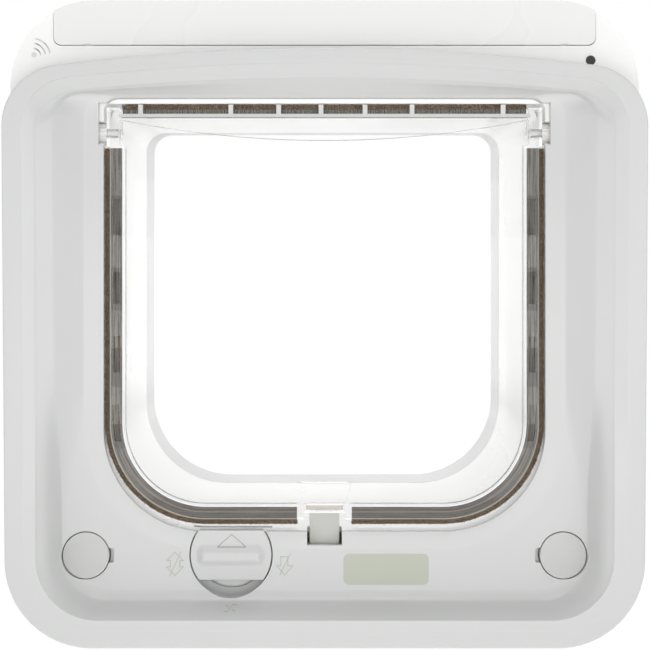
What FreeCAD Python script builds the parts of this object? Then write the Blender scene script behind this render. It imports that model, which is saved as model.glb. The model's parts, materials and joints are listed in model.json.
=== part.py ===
import FreeCAD, Part
import math
import os

# Microchip cat flap, seen from inside the house
# Origin at the middle of the tunnel, on the plane that lies against the house door
# X to the right, Y out through the door, Z up, all in millimetres

# Main planes along the tunnel
rim_y = -30.0
parting_y = -20.7
mount_y = 0.0
tunnel_end_y = 72.0
outer_back_y = 74.0
outer_face_y = 94.0

# Way through the flap
opening_half_w = 74.9
opening_floor_z = -73.65
opening_top_z = 73.65
opening_r_low = 34.4
opening_r_high = 5.0
opening_lip_t = 1.5
tunnel_relief = 0.3
tunnel_wall = 2.0
tunnel_top_z = 75.55
tunnel_r_high = 8.0
lintel_z = 71.65
lintel_wall = 1.6
lintel_r = 1.5
straight = 40000.0

# Front bezel outline
bezel_margin = 30.4
bezel_foot = 35.0
bezel_taper = 1.0
bezel_top_z = 86.75
bezel_r_low = 28.5
bezel_r_high = 20.0
bezel_arch_r = 720.0
bezel_wall = 2.3
plate_y = -16.0

# Rear casing outline
casing_gap = 0.3
casing_top_z = 104.25
casing_r_high = 28.0
casing_wall = 2.2
casing_lip = 5.0
back_plate_t = 2.2

# Long screws through the house door
screw_margin = 5.65
screw_drop = 7.85
screw_high_z = 96.5
screw_r = 2.0
screw_hole_r = 2.25
screw_head_r = 3.6
screw_head_t = 2.4
screw_seat_low_y = -9.0
screw_seat_high_y = -12.0
screw_bite = 14.0

# Small screws that hold the bezel on the casing
boss_inset = 7.0
boss_side_z = (-38.0, 42.0)
boss_floor_x = 52.0
boss_r = 3.1
boss_hole_r = 1.5
boss_end_y = -5.1

# Lock knob
knob_x = -31.6
knob_socket_r = 14.1
knob_gap = 0.4
knob_front_y = -17.2
knob_t = 2.6
knob_flat = 8.5
knob_floor_y = -12.6
knob_shaft_r = 3.9
cup_wall = 1.6
cam_y = -9.2
cam_t = 2.0
cam_reach = 14.2
cam_half_w = 4.5

# Screw caps
cap_r = 7.8
cap_gap = 0.3
cap_t = 2.0
cap_skirt_r = 6.2
cap_skirt_t = 1.2
pry_reach = 1.6
pry_depth = 1.5

# Door and its seals
hinge_y = -10.2
hinge_z = 61.8
pin_r = 1.5
pin_gap = 0.05
bush_r = 3.6
bush_teeth = 14
door_front_y = -14.1
door_edge_t = 4.0
door_panel_t = 2.4
pile_gap = 0.3
floor_gap = 2.15
pile_l = 1.7
pile_t = 3.2
backing_l = 4.1
backing_t = 1.8
backing_gap = 0.1
door_top_z = 68.05
door_arm_top_z = 70.2
door_arm_w = 4.4
top_pile_z = 71.35
top_pile_root_z = 69.85
top_backing_z = 66.9
top_pile_inset = 4.2
side_pile_top_z = 56.6
seal_break_x = 9.3
beam_dip = 5.2
beam_low_z = 59.2
beam_chord = 60.0
magnet_half_w = 6.2
magnet_h = 1.5
magnet_t = 3.0
magnet_z = -66.8
funnel_top_half = 9.3
funnel_low_half = 6.6
funnel_h = 9.7
window_l = 12.4
window_pitch = 23.4
window_first_z = 33.0
window_count = 4
rail_finger_share = (-0.907, -0.462, -0.226, -0.017, 0.2, 0.432, 0.881)
rail_h = 1.15
rail_t = 0.7

# Latch
latch_half_w = 5.1
latch_gap = 0.8
latch_top_z = -68.25
latch_low_z = -97.0
latch_front_y = -13.5
latch_t = 2.7
latch_notch_z = -78.25
gear_module = 0.8
gear_teeth = 12
gear_z = -90.0
gear_t = 2.2
gear_backlash = 0.16
motor_r = 5.0
motor_l = 7.6
motor_shaft_r = 0.75

# Battery bay
cell_r = 7.1
cell_l = 50.5
cell_gap = 0.1
bay_inner_x = 13.7
bay_slack = 2.5
rib_t = 1.6
cover_inset = 14.9
cover_r = 2.5
cover_low_z = 89.95
cover_t = 1.8
cover_proud = 0.5
cover_gap = 0.25
cover_back_y = -3.0

# Settings button
button_z = 94.0
button_r = 4.0
button_travel = 1.2
button_proud = 2.5
button_flange_t = 1.0
bridge_y = -15.4

# Small electronics
led_inset = 16.4
led_z = 84.85
led_r = 1.6
coil_y = -4.3
coil_w = 1.8
coil_t = 1.9
board_gap = 6.8
board_w = 13.0
board_low_z = -60.0
board_high_z = 88.0
board_y = -8.0
board_t = 1.6

# Exterior frame
outer_margin = 17.1
outer_foot = 23.35
outer_high_z = 106.0
outer_r = 16.0
outer_wall = 2.4
collar_gap = 0.4
collar_t = 1.5
collar_start_y = 56.0
outer_opening_lift = 2.2

# Relief in the bezel's lip that shows the bushes
bush_relief_x = 76.6
bush_relief_low_z = 57.4
bush_relief_top_z = 71.6

# Values worked out from the ones above
bezel_half_w = opening_half_w + bezel_margin
bezel_floor_z = opening_floor_z - bezel_foot
screw_x = opening_half_w + screw_margin
screw_low_z = opening_floor_z - screw_drop
knob_z = screw_low_z
cover_half_w = bezel_half_w - cover_inset
led_x = bezel_half_w - led_inset
outer_half_w = opening_half_w + outer_margin
outer_low_z = opening_floor_z - outer_foot
tunnel_half_w = opening_half_w + tunnel_relief
tunnel_floor_z = opening_floor_z - tunnel_relief
tunnel_r_low = opening_r_low + tunnel_relief
tunnel_front_y = plate_y + opening_lip_t + 0.1
panel_back_y = door_front_y + door_edge_t
tip_half_w = tunnel_half_w - pile_gap
tip_low_z = tunnel_floor_z + floor_gap
door_half_w = tip_half_w - pile_l
door_low_z = tip_low_z + pile_l
door_r_low = tunnel_r_low - pile_gap - pile_l
arm_out_x = tunnel_half_w - 1.0
top_pile_half_w = door_half_w - top_pile_inset
board_x = tunnel_half_w + board_gap
gear_r = gear_module * gear_teeth / 2.0
rack_pitch_x = latch_half_w + 1.0
gear_x = rack_pitch_x + gear_r
latch_back_y = latch_front_y + latch_t
bay_outer_x = bay_inner_x + cell_l + bay_slack
cell_low_z = lintel_z + lintel_wall + cell_gap + cell_r
button_back_y = bridge_y + rib_t + 0.2 + button_flange_t
cell_high_z = cell_low_z + 2.0 * cell_r + cell_gap
cell_y = mount_y - back_plate_t - 0.2 - cell_r
screw_places = [(sx * screw_x, z) for sx in (-1, 1) for z in (screw_low_z, screw_high_z)]
boss_places = [(sx * (bezel_half_w - boss_inset), z) for sx in (-1, 1) for z in boss_side_z]
boss_places += [(sx * boss_floor_x, bezel_floor_z + boss_inset) for sx in (-1, 1)]
cap_places = [(sx * screw_x, screw_low_z) for sx in (-1, 1)]
cap_cup_r = cap_r + cap_gap + cup_wall
magnet_y = panel_back_y - door_panel_t


def vec(x, y, z):
    return FreeCAD.Vector(x, y, z)


def save(name, shape):
    clean = shape.removeSplitter() if shape.ShapeType != "Compound" else shape
    if not clean.isValid():
        clean = shape
    clean.exportStep("parts/" + name + ".step")
    print(name, shape.ShapeType, "solids", len(shape.Solids), "valid", shape.isValid(),
          "volume", round(shape.Volume, 1))


def box(x0, x1, y0, y1, z0, z1):
    return Part.makeBox(x1 - x0, y1 - y0, z1 - z0, vec(x0, y0, z0))


def rod_y(radius, x, z, y0, y1):
    return Part.makeCylinder(radius, y1 - y0, vec(x, y0, z), vec(0, 1, 0))


def rod_x(radius, y, z, x0, x1):
    return Part.makeCylinder(radius, x1 - x0, vec(x0, y, z), vec(1, 0, 0))


def ring_y(outer_r, inner_r, x, z, y0, y1):
    return rod_y(outer_r, x, z, y0, y1).cut(rod_y(inner_r, x, z, y0 - 1, y1 + 1))


def line(p, q):
    return Part.LineSegment(p, q).toShape()


def arc(p, m, q):
    return Part.Arc(p, m, q).toShape()


# A closed outline of twelve edges: floor, corners, sides in three lengths, and an arched top.
# The floor and low corners lie at y_low, the sides at y_high, with a slope between z_a and z_b,
# and the top lies at y_top.
def outline(half_w, floor_z, top_z, r_low, r_high, y_high, taper=0.0, arch_r=straight,
            y_low=None, z_a=-38.0, z_b=-20.0, y_top=None):
    if y_low is None:
        y_low = y_high
    if y_top is None:
        y_top = y_high
    y_turn = (y_high + y_top) / 2.0
    low_w = half_w - taper
    arch_z = top_z - arch_r
    corner_z = arch_z + math.sqrt((arch_r - r_high) ** 2 - (half_w - r_high) ** 2)
    arch_x = (half_w - r_high) * arch_r / (arch_r - r_high)
    arch_end_z = arch_z + (corner_z - arch_z) * arch_r / (arch_r - r_high)
    turn = math.atan2(arch_end_z - corner_z, arch_x - half_w + r_high) / 2.0
    low_z = floor_z + r_low
    z_a = max(z_a, low_z + 0.5)
    z_b = max(z_b, z_a + 0.5)
    half = math.sqrt(0.5)

    def side(z):
        return low_w + (half_w - low_w) * (z - low_z) / (corner_z - low_z)

    right = [
        vec(low_w - r_low, y_low, floor_z),
        vec(low_w - r_low + half * r_low, y_low, low_z - half * r_low),
        vec(low_w, y_low, low_z),
        vec(side(z_a), y_low, z_a),
        vec(side(z_b), y_high, z_b),
        vec(half_w, y_high, corner_z),
        vec(half_w - r_high + r_high * math.cos(turn), y_turn, corner_z + r_high * math.sin(turn)),
        vec(arch_x, y_top, arch_end_z),
    ]
    left = [vec(-p.x, p.y, p.z) for p in right]
    return [
        line(left[0], right[0]),
        arc(right[0], right[1], right[2]),
        line(right[2], right[3]),
        line(right[3], right[4]),
        line(right[4], right[5]),
        arc(right[5], right[6], right[7]),
        arc(right[7], vec(0, y_top, top_z), left[7]),
        arc(left[7], left[6], left[5]),
        line(left[5], left[4]),
        line(left[4], left[3]),
        line(left[3], left[2]),
        arc(left[2], left[1], left[0]),
    ]


# A solid whose skin runs over a row of outlines and closes on the first again
def band(outlines):
    faces = []
    for here, after in zip(outlines, outlines[1:] + outlines[:1]):
        for a, b in zip(here, after):
            faces.append(Part.makeRuledSurface(a, b))
    shell = Part.makeShell(faces)
    shell.sewShape()
    solid = Part.makeSolid(shell)
    if solid.Volume < 0:
        solid.reverse()
    return solid


# A straight solid between two depths, inside one outline
def prism(y0, y1, **sizes):
    face = Part.Face(Part.Wire(outline(y_high=y0, **sizes)))
    return face.extrude(vec(0, y1 - y0, 0))


def tunnel_sizes(grow=0.0, top=tunnel_top_z, r_high=tunnel_r_high, grow_top=None):
    if grow_top is None:
        grow_top = grow
    return dict(half_w=tunnel_half_w + grow, floor_z=tunnel_floor_z - grow, top_z=top + grow_top,
                r_low=tunnel_r_low + grow, r_high=r_high + grow)


def bezel_sizes(inset=0.0):
    return dict(half_w=bezel_half_w - inset, floor_z=bezel_floor_z + inset,
                top_z=bezel_top_z - inset, r_low=bezel_r_low - inset,
                r_high=max(bezel_r_high - inset, 3.0), taper=bezel_taper, arch_r=bezel_arch_r)


def casing_sizes(inset=0.0):
    return dict(half_w=bezel_half_w - casing_gap - inset,
                floor_z=bezel_floor_z + casing_gap + inset, top_z=casing_top_z - inset,
                r_low=bezel_r_low - inset, r_high=casing_r_high - inset, taper=bezel_taper)


# Dish of the bezel from the parting line over the rim and down to the crease round the opening.
# Each row: inset at the sides, floor and top, depth below the rim at the sides, floor and top,
# how much tighter the low and high corners are, and how much flatter the arch is.
dish_rows = [
    (0.0, 0.0, 0.0, 9.3, 9.3, 9.3, 0.0, 0.0, 1.0),
    (0.0, 0.0, 0.0, 1.8, 1.8, 1.8, 0.0, 0.0, 1.0),
    (0.2, 0.2, 0.15, 1.0, 1.0, 1.0, 0.2, 0.2, 1.0),
    (0.8, 0.8, 0.5, 0.35, 0.35, 0.4, 0.7, 0.6, 1.0),
    (1.8, 1.6, 1.0, 0.05, 0.05, 0.1, 1.3, 1.2, 1.0),
    (3.2, 2.6, 2.0, 0.0, 0.0, 0.0, 2.1, 2.0, 1.0),
    (6.0, 5.6, 4.6, 0.4, 0.1, 0.1, 4.0, 3.0, 1.03),
    (9.7, 8.6, 6.2, 2.1, 0.4, 0.8, 8.0, 5.5, 1.08),
    (12.6, 10.2, 7.6, 3.9, 1.2, 2.4, 11.5, 8.0, 1.2),
    (14.2, 11.3, 8.75, 5.0, 6.0, 4.2, 11.5, 9.5, 1.35),
    (15.2, 12.9, 10.6, 5.7, 11.2, 8.5, 11.5, 10.5, 3.0),
    (15.7, 15.7, 11.5, 6.0, 12.7, 11.0, 10.5, 11.0, 5.0),
]
crease_w = 6.5
crease_h = 5.8
crease_top = 0.6
crease_y = plate_y - 1.0
slope_a_z = -66.0
slope_b_z = -22.0


def dish_outline(row, shift_in=0.0, shift_y=0.0, low_in=0.0, low_y=0.0):
    side, floor, top, deep_side, deep_floor, deep_top, cut_low, cut_high, flatter = row
    return outline(bezel_half_w - side - shift_in, bezel_floor_z + floor + low_in,
                   bezel_top_z - top - shift_in, bezel_r_low - cut_low, bezel_r_high - cut_high,
                   rim_y + deep_side + shift_y, taper=bezel_taper,
                   arch_r=bezel_arch_r * flatter, y_low=rim_y + deep_floor + low_y,
                   z_a=slope_a_z, z_b=slope_b_z, y_top=rim_y + deep_top + shift_y)


def opening_outline(grow_w, grow_h, grow_top, y, r_extra=0.0):
    return outline(opening_half_w + grow_w, opening_floor_z - grow_h, opening_top_z + grow_top,
                   opening_r_low + r_extra, opening_r_high + r_extra / 2.0, y)


def bezel_front():
    rows = [dish_outline(row) for row in dish_rows]
    rows.append(opening_outline(crease_w, crease_h, crease_top, crease_y, 6.0))
    rows.append(opening_outline(0, 0, 0, plate_y))
    return rows


# Everything behind the dish surface, as deep as needed, to trim what stands behind it
def behind_dish(depth_y):
    rows = bezel_front()
    rows.append(opening_outline(0, 0, 0, depth_y))
    rows.append(outline(y_high=depth_y, z_a=slope_a_z, z_b=slope_b_z, **bezel_sizes()))
    return band(rows)


def front_bezel():
    rows = bezel_front()
    slope = bezel_wall * 0.72
    rows.append(opening_outline(0, 0, 0, plate_y + opening_lip_t))
    rows.append(opening_outline(crease_w - 1.0, crease_h - 1.0, crease_top,
                                crease_y + bezel_wall, 6.0))
    for row in reversed(dish_rows[7:]):
        rows.append(dish_outline(row, -slope, slope, -slope * 0.8, bezel_wall))
    under = bezel_wall + 0.1
    rows.append(dish_outline((4.8, 4.3, 3.5, under, under, under, 3.0, 2.5, 1.0)))
    rows.append(outline(y_high=rim_y + under, z_a=slope_a_z, z_b=slope_b_z,
                        **bezel_sizes(bezel_wall)))
    rows.append(outline(y_high=parting_y, z_a=slope_a_z, z_b=slope_b_z,
                        **bezel_sizes(bezel_wall)))
    shell = band(rows)
    back = behind_dish(boss_end_y - 2.0)
    knob_cup = rod_y(knob_socket_r + cup_wall, knob_x, knob_z, rim_y, knob_floor_y + cup_wall)
    knob_cup = knob_cup.common(back)
    under_floor_z = tunnel_floor_z - tunnel_wall - 0.3
    knob_cup = knob_cup.cut(box(-100, 100, tunnel_front_y - 0.1, 0, under_floor_z, 0))
    shell = shell.fuse(knob_cup)
    for x, z in cap_places:
        cup = rod_y(cap_cup_r, x, z, rim_y, screw_seat_low_y + cup_wall).common(back)
        shell = shell.fuse(cup)
    shell = shell.cut(rod_y(knob_socket_r, knob_x, knob_z, rim_y - 1, knob_floor_y))
    shell = shell.cut(rod_y(knob_shaft_r + 0.1, knob_x, knob_z, rim_y, 0))
    groove = ring_y(10.7, 10.2, knob_x, knob_z, knob_floor_y - 1, knob_floor_y + 0.6)
    shell = shell.cut(groove)
    for x, z in cap_places:
        shell = shell.cut(rod_y(cap_r + cap_gap, x, z, rim_y - 1, screw_seat_low_y))
        shell = shell.cut(rod_y(screw_hole_r, x, z, rim_y, 0))
        pry = box(-pry_reach, pry_reach, crease_y - 5, crease_y + pry_depth, -2.5, 2.5)
        pry.translate(vec(x - math.copysign(cap_r, x), 0, z))
        shell = shell.cut(pry)
    notch_w = latch_half_w + latch_gap
    shell = shell.cut(box(-notch_w, notch_w, rim_y, 0, latch_notch_z, 0))
    shell = shell.cut(box(-bush_relief_x, bush_relief_x, crease_y - 1, mount_y,
                          bush_relief_low_z, bush_relief_top_z))
    back = behind_dish(boss_end_y)
    for x, z in boss_places:
        post = rod_y(boss_r, x, z, rim_y, boss_end_y).common(back)
        shell = shell.fuse(post)
        shell = shell.cut(rod_y(boss_hole_r, x, z, boss_end_y - 9.0, 0))
    return shell


slot_cam_half_w = math.sqrt(cam_reach ** 2 - (tunnel_floor_z - tunnel_wall - knob_z) ** 2) + 0.5
inner_front_y = parting_y + 2.0


# The two edges along Y at a shape's low left and low right corners
def low_y_edges(shape):
    bounds = shape.BoundBox
    found = []
    for edge in shape.Edges:
        mid = edge.CenterOfMass
        along_y = abs(edge.BoundBox.YLength - edge.Length) < 0.01
        at_side = min(mid.x - bounds.XMin, bounds.XMax - mid.x) < 0.1
        if along_y and at_side and mid.z < bounds.ZMin + 0.1:
            found.append(edge)
    return found


def rear_casing():
    body = prism(parting_y, mount_y, **casing_sizes())
    body = body.cut(prism(inner_front_y, mount_y - back_plate_t, **casing_sizes(casing_wall)))
    body = body.cut(prism(parting_y - 1, inner_front_y + 0.1, **bezel_sizes(casing_lip)))
    # Battery bays, button bridge and end walls above the tunnel
    inside = prism(inner_front_y - 0.5, mount_y - back_plate_t + 0.5,
                   **casing_sizes(casing_wall - 0.5))
    back_y = mount_y - back_plate_t
    bay_floor_z = lintel_z + lintel_wall
    coil_top_z = bay_floor_z + coil_t + 0.6
    for sx in (-1, 1):
        for x in (sx * (bay_inner_x - rib_t / 2), sx * (bay_outer_x + rib_t / 2)):
            rib = box(x - rib_t / 2, x + rib_t / 2, bridge_y, back_y, coil_top_z, 120)
            body = body.fuse(rib.common(inside))
        end_x = sx * (cover_half_w + cover_gap + rib_t / 2)
        end = box(end_x - rib_t / 2, end_x + rib_t / 2, inner_front_y, back_y, cover_low_z, 120)
        body = body.fuse(end.common(inside))
    bridge = box(-bay_inner_x + rib_t / 2, bay_inner_x - rib_t / 2, bridge_y, bridge_y + rib_t,
                 coil_top_z, casing_top_z - cover_t - 0.3)
    body = body.fuse(bridge)
    body = body.cut(rod_y(button_r + 0.1, 0, button_z, -20, bridge_y + rib_t + 0.1))
    # Way in for the cells, closed by the cover
    way_w = cover_half_w + cover_gap
    way = prism(parting_y - 3, cover_back_y + cover_gap, **casing_sizes(-2.0))
    mouth = box(-way_w, way_w, -40, 0, cover_low_z - cover_gap, 130)
    way = way.common(mouth.makeFillet(cover_r + cover_gap, low_y_edges(mouth)))
    keep = prism(inner_front_y, cover_back_y - 0.5, **casing_sizes(cover_t + 0.3))
    body = body.cut(way.cut(keep))
    # Tunnel through the house door, with a lower lintel in front
    front = prism(tunnel_front_y, mount_y, **tunnel_sizes(tunnel_wall, lintel_z, lintel_r, lintel_wall))
    rear = prism(-back_plate_t, tunnel_end_y, **tunnel_sizes(tunnel_wall))
    body = body.fuse(front).fuse(rear)
    body = body.cut(prism(tunnel_front_y - 1, mount_y + 0.5, **tunnel_sizes(0, lintel_z, lintel_r)))
    body = body.cut(prism(mount_y, tunnel_end_y + 1, **tunnel_sizes()))
    # Ribs outside the tunnel stiffen it where the house door hides it
    for y in (18.0, 38.0):
        rib = prism(y, y + 1.6, **tunnel_sizes(tunnel_wall + 1.6))
        body = body.fuse(rib.cut(prism(y - 1, y + 3, **tunnel_sizes(tunnel_wall - 0.5))))
    # Hinge bosses on the tunnel sides
    for sx in (-1, 1):
        x0 = tunnel_half_w + tunnel_wall - 0.5
        x1 = tunnel_half_w + 4.6
        boss = rod_x(bush_r + 2.0, hinge_y, hinge_z, x0, x1)
        boss = boss.cut(box(0, 200, -40, tunnel_front_y, 0, 200))
        hole = rod_x(bush_r + 0.1, hinge_y, hinge_z, tunnel_half_w - 1, x1 - 1.2)
        if sx < 0:
            boss = boss.mirror(vec(0, 0, 0), vec(1, 0, 0))
            hole = hole.mirror(vec(0, 0, 0), vec(1, 0, 0))
        slot_in = math.copysign(tunnel_half_w - 1, sx)
        slot_out = math.copysign(x1 - 1.2, sx)
        slot = box(min(slot_in, slot_out), max(slot_in, slot_out), tunnel_front_y - 1, hinge_y,
                   hinge_z - bush_r - 0.1, hinge_z + bush_r + 0.1)
        body = body.fuse(boss).cut(hole).cut(slot)
    # Slots in the tunnel floor for the latch and the lock
    slot_w = latch_half_w + latch_gap
    under_z = tunnel_floor_z - tunnel_wall - 1
    body = body.cut(box(-slot_w, slot_w, -40, latch_back_y + 3.4, under_z, tunnel_floor_z + 1))
    body = body.cut(box(knob_x - slot_cam_half_w, knob_x + slot_cam_half_w, cam_y - 0.3,
                        cam_y + cam_t + 0.3, under_z, tunnel_floor_z + 1))
    body = body.cut(box(knob_x - 5.4, knob_x + 5.1, -40, cam_y - 1.3, tunnel_floor_z - 0.8,
                        tunnel_floor_z + 1))
    # Screw pillars
    for x, z in screw_places:
        seat_y = screw_seat_low_y + cup_wall if z < 0 else screw_seat_high_y
        body = body.fuse(rod_y(4.6, x, z, seat_y, back_y + 0.5))
        body = body.cut(rod_y(screw_hole_r, x, z, rim_y, mount_y + 1))
    for x, z in boss_places:
        body = body.cut(rod_y(boss_r + 0.3, x, z, parting_y - 1, boss_end_y))
        body = body.fuse(rod_y(4.0, x, z, boss_end_y, back_y + 0.5))
        body = body.cut(rod_y(boss_hole_r + 0.2, x, z, rim_y, mount_y + 1))
        body = body.cut(rod_y(3.2, x, z, mount_y - 2.1, 1))
    body = body.cut(rod_y(led_r + 0.05, led_x, led_z, rim_y, inner_front_y + 1))
    return body


def battery_cover():
    front_y = parting_y - cover_proud
    outer = prism(front_y, cover_back_y, **casing_sizes(-cover_proud))
    window = box(-cover_half_w, cover_half_w, -40, 0, cover_low_z, 130)
    outer = outer.common(window)
    inner = prism(front_y + cover_t, cover_back_y + 1, **casing_sizes(cover_t - cover_proud))
    cover = outer.cut(inner)
    cover = cover.makeFillet(cover_r, low_y_edges(cover))
    for x in (-79.0, 80.0):
        cover = cover.cut(box(x - 1.1, x + 1.1, front_y - 1, front_y + 1.2, cover_low_z - 1,
                              cover_low_z + 0.3))
    for x in (-78.5, -40.0, 40.0, 78.5):
        lug = box(x - 6, x + 6, front_y + 1.0, inner_front_y, cover_low_z + 0.2,
                  cover_low_z + 1.4)
        cover = cover.fuse(lug)
    return cover


def cell(side, z):
    body_l = cell_l - 1.0
    x0 = bay_inner_x + 0.5
    can = rod_x(cell_r, cell_y, z, x0, x0 + body_l)
    nub = rod_x(2.75, cell_y, z, x0 + body_l, x0 + cell_l)
    shape = can.fuse(nub)
    if side < 0:
        shape = shape.mirror(vec(0, 0, 0), vec(1, 0, 0))
    return shape


def battery_contacts():
    plates = []
    for sx in (-1, 1):
        for z in (cell_low_z, cell_high_z):
            for x in (bay_inner_x, bay_outer_x - 0.4):
                plate = box(x, x + 0.4, cell_y - 4.5, cell_y + 4.5, z - 5.0, z + 5.0)
                if sx < 0:
                    plate = plate.mirror(vec(0, 0, 0), vec(1, 0, 0))
                plates.append(plate)
    return Part.makeCompound(plates)


def battery_springs():
    springs = []
    gap = bay_outer_x - 0.4 - (bay_inner_x + 0.5 + cell_l)
    x0 = bay_inner_x + 0.5 + cell_l
    for sx in (-1, 1):
        for z in (cell_low_z, cell_high_z):
            cone = Part.makeCone(2.4, 4.2, gap, vec(x0, cell_y, z), vec(1, 0, 0))
            hollow = Part.makeCone(1.8, 3.6, gap, vec(x0, cell_y, z), vec(1, 0, 0))
            spring = cone.cut(hollow)
            if sx < 0:
                spring = spring.mirror(vec(0, 0, 0), vec(1, 0, 0))
            springs.append(spring)
    return Part.makeCompound(springs)


def settings_button():
    front_y = bridge_y - button_proud
    cap = rod_y(button_r, 0, button_z, front_y, button_back_y)
    flange = rod_y(button_r + 1.0, 0, button_z, button_back_y - button_flange_t, button_back_y)
    cap = cap.fuse(flange)
    return cap.cut(rod_y(button_r - 1.4, 0, button_z, front_y - 1, front_y + 0.4))


def settings_switch():
    front_y = button_back_y + button_travel + 1.0
    body = box(-6, 6, front_y, mount_y - back_plate_t, button_z - 6, button_z + 6)
    plunger = rod_y(1.4, 0, button_z, button_back_y + button_travel, front_y + 0.5)
    return body.fuse(plunger)


def circuit_board():
    board = box(board_x, board_x + board_w, board_y, board_y + board_t, board_low_z, board_high_z)
    chip = box(board_x + 2, board_x + 9, board_y - 1.2, board_y, 10, 17)
    choke = rod_y(3.2, board_x + 6, 36, board_y - 3.5, board_y)
    plug = box(board_x + 2, board_x + 10, board_y - 3.6, board_y, -52, -44)
    board = board.fuse(chip).fuse(choke).fuse(plug)
    for z in (board_low_z + 4.0, board_high_z - 4.0):
        board = board.cut(rod_y(1.5, board_x + board_w / 2 + 3.0, z, board_y - 1, board_y + 3))
    stand = []
    for share in (0.2, 0.57, 0.84):
        z = board_low_z + share * (board_high_z - board_low_z)
        stand.append(rod_y(2.0, board_x + board_w / 2, z, board_y + board_t, -back_plate_t))
    for post in stand:
        board = board.fuse(post)
    return board


def antenna_coil():
    y1 = coil_y + coil_w
    outer = prism(coil_y, y1, **tunnel_sizes(tunnel_wall + 0.1 + coil_t, lintel_z, lintel_r,
                                             lintel_wall + 0.1 + coil_t))
    inner = prism(coil_y - 1, y1 + 1, **tunnel_sizes(tunnel_wall + 0.1, lintel_z, lintel_r,
                                                     lintel_wall + 0.1))
    return outer.cut(inner)


def frame_screws():
    screws = []
    for x, z in screw_places:
        seat_y = screw_seat_low_y if z < 0 else screw_seat_high_y
        head = rod_y(screw_head_r, x, z, seat_y - screw_head_t, seat_y)
        head = head.cut(rod_y(1.6, x, z, seat_y - screw_head_t - 1, seat_y - 1.2))
        shank = rod_y(screw_r, x, z, seat_y - 0.2, outer_back_y + screw_bite)
        screws.append(head.fuse(shank))
    return Part.makeCompound(screws)


def casing_screws():
    screws = []
    for x, z in boss_places:
        head = rod_y(2.9, x, z, mount_y - 2.1, mount_y - 0.3)
        shank = rod_y(boss_hole_r - 0.05, x, z, boss_end_y - 8.0, mount_y - 2.0)
        screws.append(head.fuse(shank))
    return Part.makeCompound(screws)


# Flat solid following the door's lower edge, between two insets from the tips of the pile
def edge_band(inset_out, inset_in, y0, y1):
    def sizes(inset):
        return dict(half_w=tip_half_w - inset, floor_z=tip_low_z + inset, top_z=door_top_z,
                    r_low=tunnel_r_low - pile_gap - inset, r_high=2.0)
    outer = prism(y0, y1, **sizes(inset_out))
    return outer.cut(prism(y0 - 1, y1 + 1, **dict(sizes(inset_in), top_z=door_top_z + 20)))


# The stretch of the edge that one side seal covers
def seal_zone(side):
    zone = box(seal_break_x, 200, -40, 20, -200, side_pile_top_z)
    if side < 0:
        zone = zone.mirror(vec(0, 0, 0), vec(1, 0, 0))
    return zone


def door_outline(inset=0.0):
    return dict(half_w=door_half_w - inset, floor_z=door_low_z + inset, top_z=door_top_z - inset,
                r_low=door_r_low - inset, r_high=3.0)


def door_panel():
    panel = prism(panel_back_y - door_panel_t, panel_back_y, **door_outline())
    rim = edge_band(pile_l, pile_l + backing_l + 1.3, door_front_y, panel_back_y)
    rim = rim.common(box(-100, 100, -40, 0, -100, side_pile_top_z + 1.0))
    door = panel.fuse(rim)
    # Thick beam along the top, with an arched lower edge
    arch_r = (beam_chord ** 2 + beam_dip ** 2) / (2 * beam_dip)
    beam = prism(door_front_y, panel_back_y, **door_outline())
    beam = beam.common(rod_y(arch_r, 0, beam_low_z + arch_r, -40, 20))
    door = door.fuse(beam)
    # Arms round the hinge pins
    for sx in (-1, 1):
        arm = box(arm_out_x - door_arm_w, arm_out_x, door_front_y, hinge_y + 3.0,
                  side_pile_top_z + pile_gap, door_arm_top_z)
        arm = arm.cut(rod_x(pin_r + pin_gap, hinge_y, hinge_z, 0, 200))
        if sx < 0:
            arm = arm.mirror(vec(0, 0, 0), vec(1, 0, 0))
        door = door.fuse(arm)
    for sx in (-1, 1):
        bore = rod_x(pin_r + pin_gap, hinge_y, hinge_z, arm_out_x - 3.6, 200)
        if sx < 0:
            bore = bore.mirror(vec(0, 0, 0), vec(1, 0, 0))
        door = door.cut(bore)
    # Funnel-shaped boss with the magnet, and the tongue that the latch holds
    funnel_low_z = magnet_z - 1.1
    corners = [(-funnel_top_half, funnel_low_z + funnel_h), (funnel_top_half, funnel_low_z + funnel_h),
               (funnel_low_half, funnel_low_z), (-funnel_low_half, funnel_low_z)]
    points = [vec(x, panel_back_y - 0.5, z) for x, z in corners]
    funnel = Part.Face(Part.makePolygon(points + points[:1])).extrude(vec(0, 2.9, 0))
    tongue = box(-4.0, 4.0, latch_back_y + 0.3, panel_back_y + 2.0, tunnel_floor_z + 0.8, -60)
    door = door.fuse(funnel)
    clear_w = latch_half_w + 2.0
    door = door.cut(box(-clear_w, clear_w, -40, latch_back_y + 0.3, -100, latch_top_z + 0.35))
    door = door.fuse(tongue)
    door = door.cut(box(-magnet_half_w - 0.05, magnet_half_w + 0.05, door_front_y - 1,
                        magnet_y + magnet_t, magnet_z - 0.05, magnet_z + magnet_h + 0.05))
    # Channels for the backing of the seals
    slot_y0 = door_front_y + 1.0
    slot_y1 = slot_y0 + backing_t + 2 * backing_gap
    slot = edge_band(pile_l - 1, pile_l + backing_l + backing_gap, slot_y0, slot_y1)
    for side in (-1, 1):
        door = door.cut(slot.common(seal_zone(side)))
    top_w = top_pile_half_w + backing_gap
    top_slot_z = top_backing_z - backing_gap
    door = door.cut(box(-top_w, top_w, slot_y0, slot_y1, top_slot_z, 100))
    # Windows along the side channels
    window_in = pile_l + 0.9
    window_out = pile_l + backing_l - 0.6
    windows = edge_band(window_in, window_out, door_front_y - 1, slot_y0 + 0.1)
    for i in range(window_count):
        z = window_first_z - i * window_pitch
        door = door.cut(windows.common(box(-100, 100, -40, 0, z - window_l / 2, z + window_l / 2)))
    return door


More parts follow.
